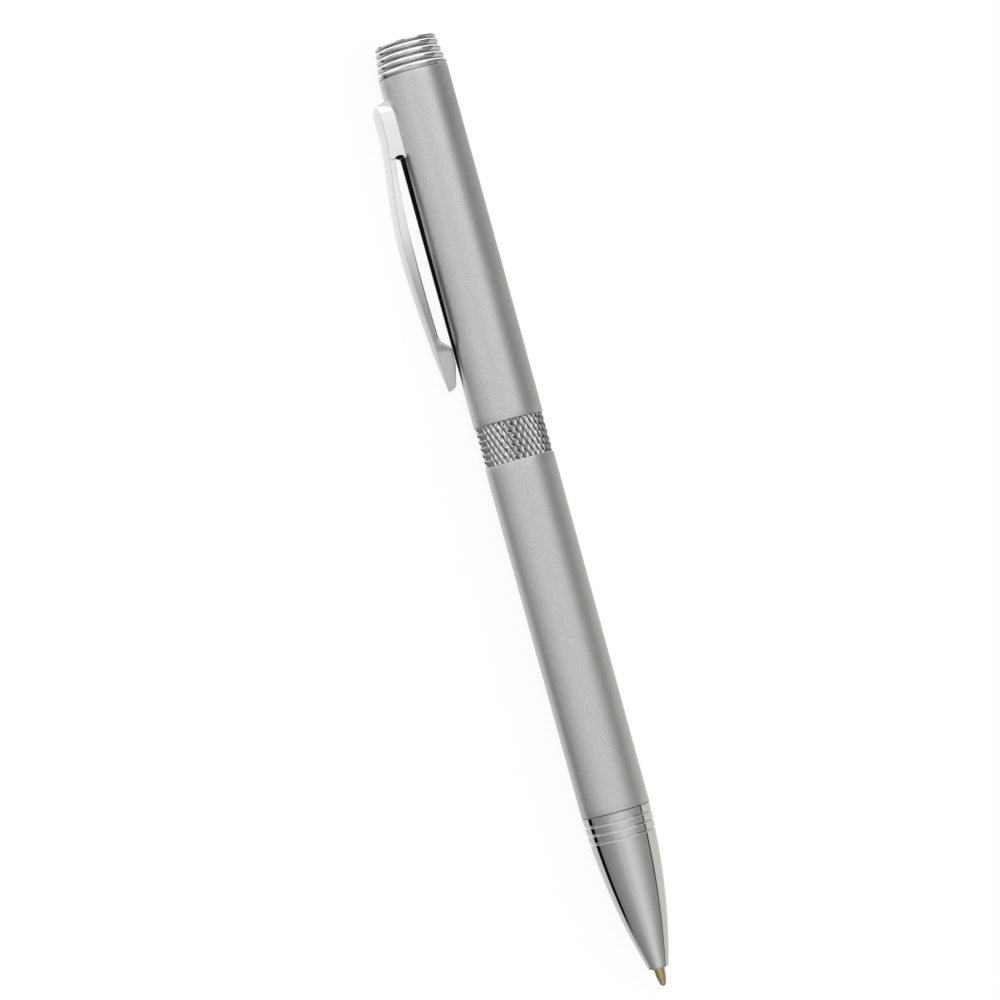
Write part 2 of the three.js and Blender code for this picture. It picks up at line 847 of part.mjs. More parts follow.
const lowerHalf = new THREE.Group();
lowerHalf.add(
  piece('nose_cone', noseCone(), chrome),
  piece('lower_barrel', lowerBarrel(), satinSilver),
  piece('barrel_bush', barrelBush(), brass),
  piece('coupler', coupler(), brass),
  piece('centre_ring', centreRing(), chrome),
  piece('friction_ring', frictionRing(), nitrile),
  piece('guide_tube', guideTube(), brass),
  piece('lower_washer', tube(camBore, camRadius - seatGap, flangeTop + seam,
    flangeTop + seam + washerHeight, innerSides), acetal),
  piece('upper_washer', tube(camBore, camRadius - seatGap, camTop + seam,
    camTop + seam + washerHeight, innerSides), acetal),
  piece('snap_ring', snapRing(), steel),
  piece('return_spring', returnSpring(), steel),
);

const upperHalf = new THREE.Group();
upperHalf.add(
  piece('upper_barrel', upperBarrel(), satinSilver),
  piece('cam_sleeve', camSleeve(), acetal),
  piece('clip_retainer', clipRetainer(), acetal),
  piece('finial_stud', finialStud(), steel),
  piece('finial', finial(), chrome),
  piece('clip', clip(), chrome),
);

const refill = new THREE.Group();
refill.add(
  piece('refill_tube', refillTube(), steel),
  piece('refill_neck', refillNeck(), brass),
  piece('refill_point', refillPoint(), brass),
  piece('refill_plug', refillPlug(), acetal),
  piece('slider', slider(), acetal),
  piece('follower_pin', crossRod(pinRadius, 2 * (camRadius - seatGap), pinLow), steel),
);

const ball = piece('writing_ball', new THREE.SphereGeometry(ballRadius, ballSides, ballRows), carbide);
ball.position.set(0, 0, ballRadius);
refill.add(ball);

// The pen lies down: its clip turns down until the first corner of it meets the table that the barrel lies on

function restAngle(mesh) {
  const places = mesh.geometry.attributes.position;
  let least = Infinity;
  for (let k = 0; k < places.count; k += 1) {
    const reach = Math.hypot(places.getX(k), places.getY(k));
    if (reach > barrelRadius) {
      const lead = Math.atan2(-places.getY(k), places.getX(k));
      least = Math.min(least, Math.asin(barrelRadius / reach) - lead);
    }
  }
  return least;
}

const pen = new THREE.Group();
pen.add(lowerHalf, upperHalf, refill);
const lean = restAngle(upperHalf.getObjectByName('clip'));
const towardsClip = new THREE.Vector3(0, -Math.cos(lean), -Math.sin(lean));
const towardsFinial = new THREE.Vector3(-1, 0, 0);
const aside = new THREE.Vector3().crossVectors(towardsFinial, towardsClip);
pen.quaternion.setFromRotationMatrix(new THREE.Matrix4().makeBasis(towardsClip, aside, towardsFinial));
pen.updateMatrixWorld(true);
const clipBox = new THREE.Box3().setFromObject(upperHalf.getObjectByName('clip'), true);
pen.position.set(finialTop / 2, -(clipBox.min.y + barrelRadius) / 2, barrelRadius);

console.log(`length ${finialTop.toFixed(2)} mm, barrel ${(2 * barrelRadius).toFixed(2)} mm across`);
console.log(`clip ${THREE.MathUtils.radToDeg(lean).toFixed(2)} degrees below level,`
  + ` axis at y ${pen.position.y.toFixed(3)}, z ${pen.position.z.toFixed(3)}`);
console.log(`least gap between the spring's turns ${springSelfGap().toFixed(2)} mm`);

const group = new THREE.Group();
group.add(pen);
group.updateMatrixWorld(true);

export default group;
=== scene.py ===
import math

import bpy
import numpy as np
from mathutils import Matrix, Vector


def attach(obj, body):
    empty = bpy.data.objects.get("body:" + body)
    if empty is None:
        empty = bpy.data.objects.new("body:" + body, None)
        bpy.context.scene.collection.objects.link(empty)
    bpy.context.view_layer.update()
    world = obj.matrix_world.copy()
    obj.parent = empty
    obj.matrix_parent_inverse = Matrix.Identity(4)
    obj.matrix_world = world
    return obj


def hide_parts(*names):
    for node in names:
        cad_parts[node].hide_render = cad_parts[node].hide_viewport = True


# A metal twist pen with its point out, lying on a white table. Lengths are in millimetres
# until layDown() turns them into metres.

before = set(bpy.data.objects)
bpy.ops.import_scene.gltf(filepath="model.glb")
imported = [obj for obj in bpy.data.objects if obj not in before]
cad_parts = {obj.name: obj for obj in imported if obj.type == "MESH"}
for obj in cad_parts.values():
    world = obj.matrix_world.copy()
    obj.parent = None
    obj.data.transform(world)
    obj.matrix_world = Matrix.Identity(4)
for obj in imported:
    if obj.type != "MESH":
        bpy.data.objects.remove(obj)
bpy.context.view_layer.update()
print("frame loaded:", len(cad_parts), "nodes")


# Where the pen lies

penPlace = {
    "ballX": 70.0,       # the writing ball's end of the pen, along X
    "axisY": 1.676,
    "axisZ": 5.1,
    "clipLean": 25.81,   # degrees that the clip points below level
    "length": 140.0,
}

leanAngle = math.radians(penPlace["clipLean"])
towardsClip = np.array([0.0, -math.cos(leanAngle), -math.sin(leanAngle)])
aside = np.array([0.0, -math.sin(leanAngle), math.cos(leanAngle)])
towardsFinial = np.array([-1.0, 0.0, 0.0])
ballEnd = np.array([penPlace["ballX"], penPlace["axisY"], penPlace["axisZ"]])


def layDown(reach, side, height):
    # A place in the room is the ball's end plus reach, side and height along the pen's own three directions.
    reach, side, height = np.broadcast_arrays(reach, side, height)
    own = np.stack([reach, side, height], axis=-1)
    return (ballEnd + own @ np.stack([towardsClip, aside, towardsFinial])) / 1000


# Mesh helpers

def addObject(name, data):
    added = bpy.data.objects.new(name, data)
    bpy.context.scene.collection.objects.link(added)
    return added


def outward(places, faces):
    # A closed shell's faces turned outwards: its volume, a sixth of the sum of a . (b x c), is above zero.
    a, b, c = (places[faces[:, k]] for k in range(3))
    return faces if np.einsum("ij,ij->i", a, np.cross(b, c)).sum() > 0 else faces[:, ::-1]


def makePiece(name, places, triangles, sharpAngle=32):
    # Joins corners that share a place, drops faces with no area, and turns the shell outwards.
    perMetreApart = 1e8   # corners share a place when they round to the same hundredth of a micrometre
    places = places.reshape(-1, 3)
    keys = np.round(places * perMetreApart).astype(np.int64)
    first, back = np.unique(keys, axis=0, return_index=True, return_inverse=True)[1:]
    corners = back.reshape(-1)[triangles]
    a, b, c = corners.T
    corners = corners[(a != b) & (b != c) & (c != a)]
    joined = places[first]
    mesh = bpy.data.meshes.new(name)
    mesh.from_pydata(joined, [], outward(joined, corners))
    mesh.update()
    mesh.shade_smooth()
    mesh.set_sharp_from_angle(angle=math.radians(sharpAngle))
    return addObject(name, mesh)


def cellCorners(rows, columns, closedRows=True):
    # The four corners, in turn, of each cell of a grid whose columns go all the way round.
    i, j = np.indices((rows if closedRows else rows - 1, columns))
    below, right = (i + 1) % rows, (j + 1) % columns
    return i * columns + j, i * columns + right, below * columns + right, below * columns + j


def twoTriangles(a, b, c, d):
    # Each cell as two triangles, cut from a to c.
    return np.concatenate([np.stack([a, b, c], -1).reshape(-1, 3), np.stack([a, c, d], -1).reshape(-1, 3)])


def gridTriangles(rows, columns, closedRows=True, start=0):
    return start + twoTriangles(*cellCorners(rows, columns, closedRows))


def endFan(first, columns):
    # A flat end: triangles from its first corner to each further edge.
    k = np.arange(1, columns - 1)
    return np.stack([np.full_like(k, first), first + k + 1, first + k], -1)


def cappedGrid(rows, columns, start=0):
    # An open grid whose first and last rows are closed by flat ends.
    highEnd = endFan(start + (rows - 1) * columns, columns)[:, ::-1]
    return np.concatenate([gridTriangles(rows, columns, False, start), endFan(start, columns), highEnd])


def easeCurve(start, corner, end, steps=5):
    # (1-t)^2 start + 2t(1-t) corner + t^2 end: it leaves and arrives along the corner's two sides.
    t = np.linspace(0, 1, steps)[:, None]
    return (1 - t) ** 2 * start + 2 * t * (1 - t) * corner + t ** 2 * end


def eased(corners, steps=5):
    # corners has [x, y, ease] last. Each corner gives way to an ease curve between the two places that lie
    # ease away from it on its two sides.
    corners = np.asarray(corners, float)
    place, ease = corners[..., :2], corners[..., 2:]
    shortest = 1e-9   # keeps corners that share a place from a division by zero
    startSide, endSide = (
        place + way * ease / np.maximum(np.linalg.norm(way, axis=-1, keepdims=True), shortest)
        for way in (np.roll(place, 1, axis=-2) - place, np.roll(place, -1, axis=-2) - place))
    curve = easeCurve(startSide[..., None, :], place[..., None, :], endSide[..., None, :], steps)
    return curve.reshape(*corners.shape[:-2], -1, 2)


def turnedPiece(name, outline, sides):
    # A closed outline of [radius, height] points, revolved about the pen's axis.
    turn = np.arange(sides) / sides * 2 * np.pi
    radius, height = outline[:, :1], outline[:, 1:]
    places = layDown(radius * np.cos(turn), radius * np.sin(turn), height)
    return makePiece(name, places, gridTriangles(len(outline), sides))


def smoothStep(share):
    share = np.clip(share, 0, 1)
    return share * share * (3 - 2 * share)


def ownPlaces(piece):
    # The reach, side and height of each corner: layDown() undone.
    places = np.empty(3 * len(piece.data.vertices))
    piece.data.vertices.foreach_get("co", places)
    directions = np.stack([towardsClip, aside, towardsFinial])
    return directions @ (places.reshape(-1, 3) * 1000 - ballEnd).T


def markPaintedShade(piece, share):
    # Stores at each corner a painted shade from 0 to 1, for the material to darken: hollows, seams and
    # shadows.
    hollow = piece.data.attributes.new("hollow", "FLOAT", "POINT")
    hollow.data.foreach_set("value", np.clip(share, 0, 1).astype(np.float32))


def standIn(piece, body, node, finishName):
    piece.data.materials.append(materials[finishName])
    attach(piece, body)
    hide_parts(node)


# Materials

def linearColour(code):
    # An sRGB hex colour as the linear values that Blender works in.
    parts = np.array([int(code[k:k + 2], 16) for k in (1, 3, 5)]) / 255
    linear = np.where(parts <= 0.04045, parts / 12.92, ((parts + 0.055) / 1.055) ** 2.4)
    return (float(linear[0]), float(linear[1]), float(linear[2]), 1.0)


def addNode(tree, kind, inputs=None, **settings):
    # Adds a node; an input that is a socket is linked, any other is set.
    node = tree.nodes.new("ShaderNode" + kind)
    for key, value in settings.items():
        setattr(node, key, value)
    for key, value in (inputs or {}).items():
        if isinstance(value, bpy.types.NodeSocket):
            tree.links.new(value, node.inputs[key])
        else:
            node.inputs[key].default_value = value
    return node


def perMetre(sizeMm):
    # Texture scale at which one feature of a noise is about sizeMm across.
    return 1000 / sizeMm


def arithmetic(tree, operation, *values):
    return addNode(tree, "Math", dict(enumerate(values)), operation=operation).outputs[0]


def mixColours(tree, share, first, second):
    # The colour sockets of a Mix node share their names with those of its other kinds, so they go by number.
    return addNode(tree, "Mix", {0: share, 6: first, 7: second}, data_type="RGBA").outputs[2]


def grainMaterial(name, finish):
    # Shared by the metals and plastics here: two colours mixed by a grain, a cloudier haze in the
    # roughness, and a fine relief. Coordinates are the object's, stretched along X where the finish is drawn
    # and squeezed where it is turned.
    material = bpy.data.materials.new(name)
    material.use_nodes = True
    tree = material.node_tree
    shader = tree.nodes["Principled BSDF"]
    shader.inputs["Metallic"].default_value = finish["metallic"]
    place = addNode(tree, "TexCoord").outputs["Object"]
    stretched = addNode(tree, "Mapping", {"Vector": place, "Scale": (finish.get("along", 1), 1, 1)})
    grain = addNode(tree, "TexNoise", {
        "Vector": stretched.outputs["Vector"], "Scale": perMetre(finish["grainMm"]),
        "Detail": 3, "Roughness": 0.6}).outputs["Fac"]
    haze = addNode(tree, "TexNoise", {
        "Vector": place, "Scale": perMetre(finish["hazeMm"]), "Detail": 2, "Roughness": 0.5}).outputs["Fac"]
    colour = mixColours(tree, grain, linearColour(finish["dark"]), linearColour(finish["light"]))
    usualLow, usualHigh = 0.6, 1.4   # the grain and the haze added come to between these nearly everywhere
    rough = addNode(tree, "MapRange", {
        "Value": arithmetic(tree, "ADD", grain, haze), "From Min": usualLow, "From Max": usualHigh,
        "To Min": finish["rough"][0], "To Max": finish["rough"][1]}).outputs["Result"]
    if "hollows" in finish:
        # Painted shade in hollows, seams and shadows, as strong as the piece's own attribute says: darker and
        # duller
        hollow = addNode(tree, "Attribute", attribute_name="hollow").outputs["Fac"]
        colour = mixColours(tree, hollow, colour, linearColour(finish["hollows"]))
        rough = arithmetic(tree, "MAXIMUM", rough, hollow)
    tree.links.new(colour, shader.inputs["Base Color"])
    tree.links.new(rough, shader.inputs["Roughness"])
    relief = addNode(tree, "Bump", {
        "Strength": finish["reliefStrength"], "Distance": finish["reliefMm"] / 1000, "Height": grain})
    tree.links.new(relief.outputs["Normal"], shader.inputs["Normal"])
    return material


finishes = {
    # A finish's hollows colour is what its painted shade darkens to.
    # Barrels: aluminium, blasted with fine beads and clear anodised. Soft broad highlight, no mirror image,
    # and a mottle as fine as frost. The real grain is near 0.05 mm; it is drawn coarser, so that it shows.
    "satinAnodisedAluminium": {
        "metallic": 1.0, "dark": "#C6C6C5", "light": "#F0F0EF", "hollows": "#000000",
        "grainMm": 0.24, "hazeMm": 6, "rough": (0.34, 0.42), "reliefStrength": 0.6, "reliefMm": 0.02},
    # Clip, nose, ring and finial: bright nickel under chrome plate, polished. A mirror with a cool grey
    # tint, a slight haze from wiping, and a relief too shallow to see but as a tremble in the reflections.
    "polishedChromePlate": {
        "metallic": 1.0, "dark": "#DDDEDE", "light": "#E3E4E4", "hollows": "#050505",
        "grainMm": 3.0, "hazeMm": 9, "rough": (0.035, 0.075), "reliefStrength": 0.05, "reliefMm": 0.02},
    # Tubes and bushes inside: brass, drawn. Lines along the pen, a warm satin sheen.
    "drawnBrass": {
        "metallic": 1.0, "dark": "#C09A54", "light": "#D8B46C", "grainMm": 0.2, "hazeMm": 5, "along": 0.05,
        "rough": (0.22, 0.34), "reliefStrength": 0.15, "reliefMm": 0.01},
    # Refill tube, spring and pins: stainless steel, drawn and tumbled. Grey, finely lined, half bright.
    "drawnStainlessSteel": {
        "metallic": 1.0, "dark": "#A9ABAC", "light": "#C3C5C6", "grainMm": 0.15, "hazeMm": 4, "along": 0.08,
        "rough": (0.2, 0.3), "reliefStrength": 0.12, "reliefMm": 0.01},
    # Ball: cemented tungsten carbide, lapped. Dark grey with a fine even sparkle.
    "lappedTungstenCarbide": {
        "metallic": 1.0, "dark": "#AEACA6", "light": "#C6C4BE", "grainMm": 0.05, "hazeMm": 0.4,
        "rough": (0.16, 0.24), "reliefStrength": 0.1, "reliefMm": 0.003},
    # Cam, slider and washers: acetal, moulded and left natural. Milky white with a waxy half gloss.
    "mouldedAcetal": {
        "metallic": 0.0, "dark": "#E2DFD6", "light": "#EDEBE4", "grainMm": 0.6, "hazeMm": 4,
        "rough": (0.38, 0.5), "reliefStrength": 0.1, "reliefMm": 0.01},
    # Friction ring: nitrile rubber, moulded. Black with a dry bloom.
    "mouldedNitrileRubber": {
        "metallic": 0.0, "dark": "#1C1C1C", "light": "#2A2A29", "grainMm": 0.2, "hazeMm": 1.5,
        "rough": (0.55, 0.7), "reliefStrength": 0.2, "reliefMm": 0.01},
    # Point of the refill: brass, turned. Rings of the cutting tool, near 0.02 mm apart, darkened by ink and
    # handling.
    "turnedBrass": {
        "metallic": 1.0, "dark": "#B09C74", "light": "#E4D4AA", "grainMm": 0.12, "hazeMm": 0.8, "along": 6,
        "rough": (0.24, 0.36), "reliefStrength": 0.25, "reliefMm": 0.01},
}
materials = {name: grainMaterial(name, finish) for name, finish in finishes.items()}
print("materials made:", len(materials))


# Radii and heights, as in the part: heights count from the writing ball

shell = {
    "barrelRadius": 5.085, "barrelBore": 4.5, "seam": 0.06, "edge": 0.09, "boreEdge": 0.03,
    "noseEnd": 2.64, "noseBack": 25.9, "ringFoot": 77.8, "ringTop": 83.6, "finialFoot": 135.2,
    "sides": 192,
}


# Barrels

lowerBarrel = {
    "frontRadius": 4.98, "backRadius": 5.075,
    "rows": 40, "rowsAfter": 9,   # the outline point where the front edge ends and the rows start
}


def lowerBarrelOutline():
    # An eased tube, with evenly spaced points put in along its side.
    low, high = shell["noseBack"] + shell["seam"], shell["ringFoot"] - shell["seam"]
    bore, edge, boreEdge = shell["barrelBore"], shell["edge"], shell["boreEdge"]
    after = lowerBarrel["rowsAfter"]
    outline = eased([
        [bore, low, boreEdge], [lowerBarrel["frontRadius"], low, edge],
        [lowerBarrel["backRadius"], high, edge], [bore, high, boreEdge]])
    share = np.linspace(0, 1, lowerBarrel["rows"] + 1)[1:-1, None]
    between = outline[after] * (1 - share) + outline[after + 1] * share
    return np.concatenate([outline[:after + 1], between, outline[after + 1:]])


lowerBarrelPiece = turnedPiece("lowerBarrelTube", lowerBarrelOutline(), shell["sides"])
# Painted shade: the eased ends and the bore go dark, as the shadow in the seams.
reach, side, height = ownPlaces(lowerBarrelPiece)
edgeRadius = lowerBarrel["frontRadius"] - shell["edge"] / 2
markPaintedShade(lowerBarrelPiece, (edgeRadius - np.hypot(reach, side)) / shell["edge"])
standIn(lowerBarrelPiece, "lower_half", "lower_barrel", "satinAnodisedAluminium")


upperBarrel = {
    "slotHalfWidth": 1.1, "slotLow": 125.9, "slotHigh": 130.9,
    "rows": (36, 6, 5),          # rings of corners below, beside and above the window
    "windowCells": 12,           # cells across the window
    # The shade keys place the painted shadow under the clip: its width, its heights and its softness.
    "shadeShare": 0.8,           # width of the dark strip under the clip, as a share of the clip's
    "shadeLow": 88.6, "shadeHigh": 124.0, "shadeSoft": 0.16, "shadeStart": 2, "shadeStop": 0.6,
}


def upperBarrelPiece():
    # A tube with one window: a grid of the outline against the turn, where the cells of the wall inside the
    # window are left out, outside and in, and the edges of the two holes are joined by walls.
    low, high = shell["ringTop"] + shell["seam"], shell["finialFoot"] - shell["seam"]
    radius, bore, edge = shell["barrelRadius"], shell["barrelBore"], shell["edge"]
    slotLow, slotHigh, cells = upperBarrel["slotLow"], upperBarrel["slotHigh"], upperBarrel["windowCells"]
    below, beside, above = upperBarrel["rows"]
    heights = np.concatenate([
        np.linspace(low + edge, slotLow, below), np.linspace(slotLow, slotHigh, beside)[1:],
        np.linspace(slotHigh, high - edge, above)[1:]])
    turnEdge = math.asin(upperBarrel["slotHalfWidth"] / radius)
    window = np.linspace(-turnEdge, turnEdge, cells + 1)
    around = np.linspace(turnEdge, 2 * np.pi - turnEdge, shell["sides"] - cells + 1)[1:-1]
    turn = np.concatenate([window, around])
    lowEdge = easeCurve([radius - edge, low], [radius, low], [radius, low + edge])
    highEdge = easeCurve([radius, high - edge], [radius, high], [radius - edge, high])
    outer = np.stack([np.full_like(heights, radius), heights], -1)
    inner = np.stack([np.full_like(heights, bore), heights], -1)[::-1]
    profile = np.concatenate([lowEdge[:-1], outer, highEdge[1:], [[bore, high]], inner, [[bore, low]]])
    rows, columns = len(profile), len(turn)
    places = layDown(profile[:, :1] * np.cos(turn), profile[:, :1] * np.sin(turn), profile[:, 1:])
    middle = (profile[:, 1] + np.roll(profile[:, 1], -1)) / 2
    inWindow = ((middle > slotLow) & (middle < slotHigh))[:, None] & (np.arange(columns) < cells)
    faces = [twoTriangles(*(corner[~inWindow] for corner in cellCorners(rows, columns)))]
    # Walls of the window: each boundary edge outside is joined to the one behind it inside.
    outerStart = len(lowEdge) - 1
    innerStart = outerStart + len(heights) + len(highEdge)
    level = np.arange(len(heights))
    outerRow, innerRow = outerStart + level, innerStart + len(heights) - 1 - level
    lowRow, highRow = (int(np.argmin(np.abs(heights - end))) for end in (slotLow, slotHigh))
    column = np.arange(cells)
    for row, sign in ((lowRow, 1), (highRow, -1)):
        outside, inside = outerRow[row] * columns + column, innerRow[row] * columns + column
        faces.append(twoTriangles(outside, outside + 1, inside + 1, inside)[:, ::sign])
    rise = np.arange(lowRow, highRow)
    for side, sign in ((0, -1), (cells, 1)):
        outside, inside = outerRow * columns + side, innerRow * columns + side
        wall = twoTriangles(outside[rise], outside[rise + 1], inside[rise + 1], inside[rise])
        faces.append(wall[:, ::sign])
    return makePiece("upperBarrelTube", places, np.concatenate(faces))


upperBarrelTube = upperBarrelPiece()
standIn(upperBarrelTube, "upper_half", "upper_barrel", "satinAnodisedAluminium")
print("barrels made")


# Knurled ring

knurl = {
    "radius": 4.975, "bore": 4.05, "around": 34, "high": 3, "depth": 0.24,
    "weakFamily": 0.8,   # depth of the grooves that climb the other way, as a share
    "cells": 12,         # grid cells across one diamond
    "crest": 0.1,        # flattening of the peaks and valleys, as a share of the depth
    "endEase": 0.14,
    "reachOut": 0.04,    # how far the ring closes the seams beside it
    # painted shade in the valleys: where it starts, as a share of the depth, and how dark it gets
    "hollowFrom": 0.68, "hollowDark": 0.85,
}


def knurledRing():
    # Two families of V grooves cross: with u diamonds round and v diamonds up, family one runs along u + v
    # and family two along u - v. The surface is the lower of the two, so each diamond is a pyramid.
    columns = knurl["around"] * knurl["cells"]
    rows = knurl["high"] * knurl["cells"] + 1
    low, high = shell["ringFoot"] - knurl["reachOut"], shell["ringTop"] + knurl["reachOut"]
    u = np.arange(columns)[None, :] / knurl["cells"]
    v = np.arange(rows)[:, None] / knurl["cells"]
    turn = u / knurl["around"] * 2 * np.pi
    height = low + (high - low) * v / knurl["high"]

    def grooveDepth(phase, share):
        slope = 1 - np.abs(2 * (phase % 1) - 1)          # 0 in the groove, 1 on the crest
        slope = np.clip(slope, knurl["crest"], 1 - knurl["crest"])
        slope = (slope - knurl["crest"]) / (1 - 2 * knurl["crest"])
        return share * knurl["depth"] * (1 - slope)

    first = grooveDepth(u + v, 1.0)
    second = grooveDepth(u - v, knurl["weakFamily"])
    fromEnd = np.minimum(height - low, high - height)
    chamfer = np.clip(knurl["endEase"] - fromEnd, 0, None)
    radius = knurl["radius"] - np.maximum(np.maximum(first, second), chamfer)
    height = np.broadcast_to(height, radius.shape)
    bore = np.full((2, columns), knurl["bore"])
    radius = np.concatenate([radius, bore])
    height = np.concatenate([height, np.full((1, columns), high), np.full((1, columns), low)])
    places = layDown(radius * np.cos(turn), radius * np.sin(turn), height)
    a, b, c, d = cellCorners(*radius.shape)
    i, j = np.indices(radius.shape)
    # The cut across each cell follows the nearer groove, so that valleys and crests stay straight.
    uMiddle, vMiddle = (j + 0.5) / knurl["cells"], (i + 0.5) / knurl["cells"]
    alongFirst = np.abs((uMiddle + vMiddle + 0.5) % 1 - 0.5) < np.abs((uMiddle - vMiddle + 0.5) % 1 - 0.5)
    one, other = alongFirst, ~alongFirst
    faces = np.concatenate([
        np.stack([a[one], b[one], d[one]], -1), np.stack([b[one], c[one], d[one]], -1),
        np.stack([a[other], b[other], c[other]], -1), np.stack([a[other], c[other], d[other]], -1)])
    return makePiece("knurledRing", places, faces, sharpAngle=24)


ring = knurledRing()
# Painted shade: the knurl's valleys darken towards their bottoms.
reach, side, height = ownPlaces(ring)
sunk = (knurl["radius"] - np.hypot(reach, side)) / knurl["depth"]
markPaintedShade(ring, knurl["hollowDark"] * smoothStep((sunk - knurl["hollowFrom"]) / (1 - knurl["hollowFrom"])))
standIn(ring, "lower_half", "centre_ring", "polishedChromePlate")
print("knurled ring made")


# Nose cone

nose = {
    "endRadius": 1.45, "backRadius": 4.95, "bulge": 0.76, "endRound": 0.3, "backEdge": 0.05, "darkBack": 0.03,
    "grooves": 3, "groovePitch": 1.25, "grooveWidth": 0.36, "grooveDepth": 0.16, "grooveMargin": 0.4,
    "bore": 0.91, "boreLength": 3.4, "boreEdge": 0.08, "springBore": 2.65, "springSeat": 10.34,
    "shankBore": 1.35, "shankTaper": 1.1, "backBore": 3.25, "shoulder": 20.75, "shoulderTaper": 0.6,
    "spigot": 4.45, "spigotTop": 31.85,
    "roundPoints": 9, "plainPoints": 70, "groovedPoints": 150, "sides": 176,
}


def noseRadius(height):
    # One arc through the two ends of the side, standing bulge proud of the chord between them.
    length = shell["noseBack"] - shell["noseEnd"]
    rise = nose["backRadius"] - nose["endRadius"]
    chord = math.hypot(rise, length)
    arc = (chord ** 2 / 4 + nose["bulge"] ** 2) / (2 * nose["bulge"])
    back = (arc - nose["bulge"]) / chord
    centreRadius = (nose["endRadius"] + nose["backRadius"]) / 2 - back * length
    centreHeight = (shell["noseEnd"] + shell["noseBack"]) / 2 + back * rise
    return centreRadius + np.sqrt(arc ** 2 - (height - centreHeight) ** 2)


def noseOutline():
    # End round, side arc less three hollows, each one wave of a cosine, then the spigot and the bores inside.
    end, back, endRound = shell["noseEnd"], shell["noseBack"], nose["endRound"]
    turn = np.linspace(0, np.pi / 2, nose["roundPoints"])
    edgeRadius = noseRadius(end + endRound)
    roundEnd = np.stack([edgeRadius - endRound * (1 - np.sin(turn)), end + endRound * (1 - np.cos(turn))], -1)
    grooved = back - nose["grooves"] * nose["groovePitch"] - nose["grooveMargin"]
    height = np.concatenate([
        np.linspace(end + endRound, grooved, nose["plainPoints"])[1:],
        np.linspace(grooved, back - nose["backEdge"], nose["groovedPoints"])[1:]])
    middles = back - nose["groovePitch"] * np.arange(1, nose["grooves"] + 1)
    away = np.clip(np.abs(height[:, None] - middles) / (nose["grooveWidth"] / 2), 0, 1)
    depth = nose["grooveDepth"] * (0.5 + 0.5 * np.cos(np.pi * away)).sum(axis=1)
    side = np.stack([noseRadius(height) - depth, height], -1)
    inside = np.array([
        [nose["backRadius"] - nose["backEdge"], back], [nose["spigot"], back],
        [nose["spigot"], nose["spigotTop"]], [nose["backBore"], nose["spigotTop"]],
        [nose["backBore"], nose["shoulder"]], [nose["springBore"], nose["shoulder"] - nose["shoulderTaper"]],
        [nose["springBore"], nose["springSeat"]], [nose["shankBore"], nose["springSeat"]],
        [nose["shankBore"], end + nose["boreLength"] + nose["shankTaper"]],
        [nose["bore"], end + nose["boreLength"]], [nose["bore"], end + nose["boreEdge"]],
        [nose["bore"] + nose["boreEdge"], end]])
    return np.concatenate([roundEnd, side, inside])


nosePiece = turnedPiece("chromeNose", noseOutline(), nose["sides"])
# Painted shade: from the back edge on, where the nose meets the barrel, the surface goes dark.
height = ownPlaces(nosePiece)[2]
markPaintedShade(nosePiece, (height - shell["noseBack"] + nose["darkBack"]) / nose["darkBack"])
standIn(nosePiece, "lower_half", "nose_cone", "polishedChromePlate")
print("nose made")


# Finial

finial = {
    "ridges": 5, "pitch": 1.04, "topHeight": 0.64, "step": 0.15, "groove": 0.22, "footInset": 0.08,
    "riseTo": 0.3, "fallFrom": 0.7, "fallTo": 0.9, "lastFallTo": 0.95,   # shares of a ridge's height
    "crestEase": 0.24, "grooveEase": 0.05, "footEase": 0.03, "firstMore": 1.4, "crownEase": 0.12,
    # painted shade in the grooves: its width and how dark it gets
    "hollowWidth": 0.17, "hollowDark": 0.45,
    "spigot": 4.45, "spigotFoot": 132.6, "spigotEase": 0.1, "seatEase": 0.02,
    "bore": 1.55, "boreTop": 136.8, "boreEase": 0.05,
    "easePoints": 7, "sides": 192,
}


def finialOutline():
    # Each ridge leaves its groove, rises to its crest, stays there for 0.4 of its height and falls back.
    foot, top = shell["finialFoot"], penPlace["length"]
    corners = [[finial["bore"], finial["spigotFoot"], finial["boreEase"]],
               [finial["spigot"], finial["spigotFoot"], finial["spigotEase"]],
               [finial["spigot"], foot, finial["seatEase"]]]
    for k in range(finial["ridges"]):
        isFirst, isLast = k == 0, k == finial["ridges"] - 1
        radius = shell["barrelRadius"] - k * finial["step"]
        low, height = foot + k * finial["pitch"], finial["topHeight" if isLast else "pitch"]
        inset, insetEase = ("footInset", "footEase") if isFirst else ("groove", "grooveEase")
        riseEase = finial["crestEase"] * (finial["firstMore"] if isFirst else 1)
        corners += [
            [radius - finial[inset], low, finial[insetEase]],
            [radius, low + finial["riseTo"] * height, riseEase],
            [radius, low + finial["fallFrom"] * height, finial["crestEase"]],
            [radius - finial["groove"], low + height * finial["lastFallTo" if isLast else "fallTo"],
             finial["grooveEase"]]]
    crown = shell["barrelRadius"] - (finial["ridges"] - 1) * finial["step"] - 2 * finial["groove"]
    corners += [[crown, top, finial["crownEase"]], [0, top, 0], [0, finial["boreTop"], 0],
                [finial["bore"], finial["boreTop"], finial["boreEase"]]]
    return eased(corners, finial["easePoints"])


finialPiece = turnedPiece("ridgedFinial", finialOutline(), finial["sides"])
# Painted shade: the grooves between the ridges darken.
height = ownPlaces(finialPiece)[2]
pitches = np.clip((height - shell["finialFoot"]) / finial["pitch"], 0, finial["ridges"] - 0.5)
fromGroove = np.abs(pitches - np.round(pitches)) * finial["pitch"]
markPaintedShade(finialPiece, finial["hollowDark"] * (1 - smoothStep(fromGroove / finial["hollowWidth"])))
standIn(finialPiece, "upper_half", "finial", "polishedChromePlate")
print("finial made")


# Clip

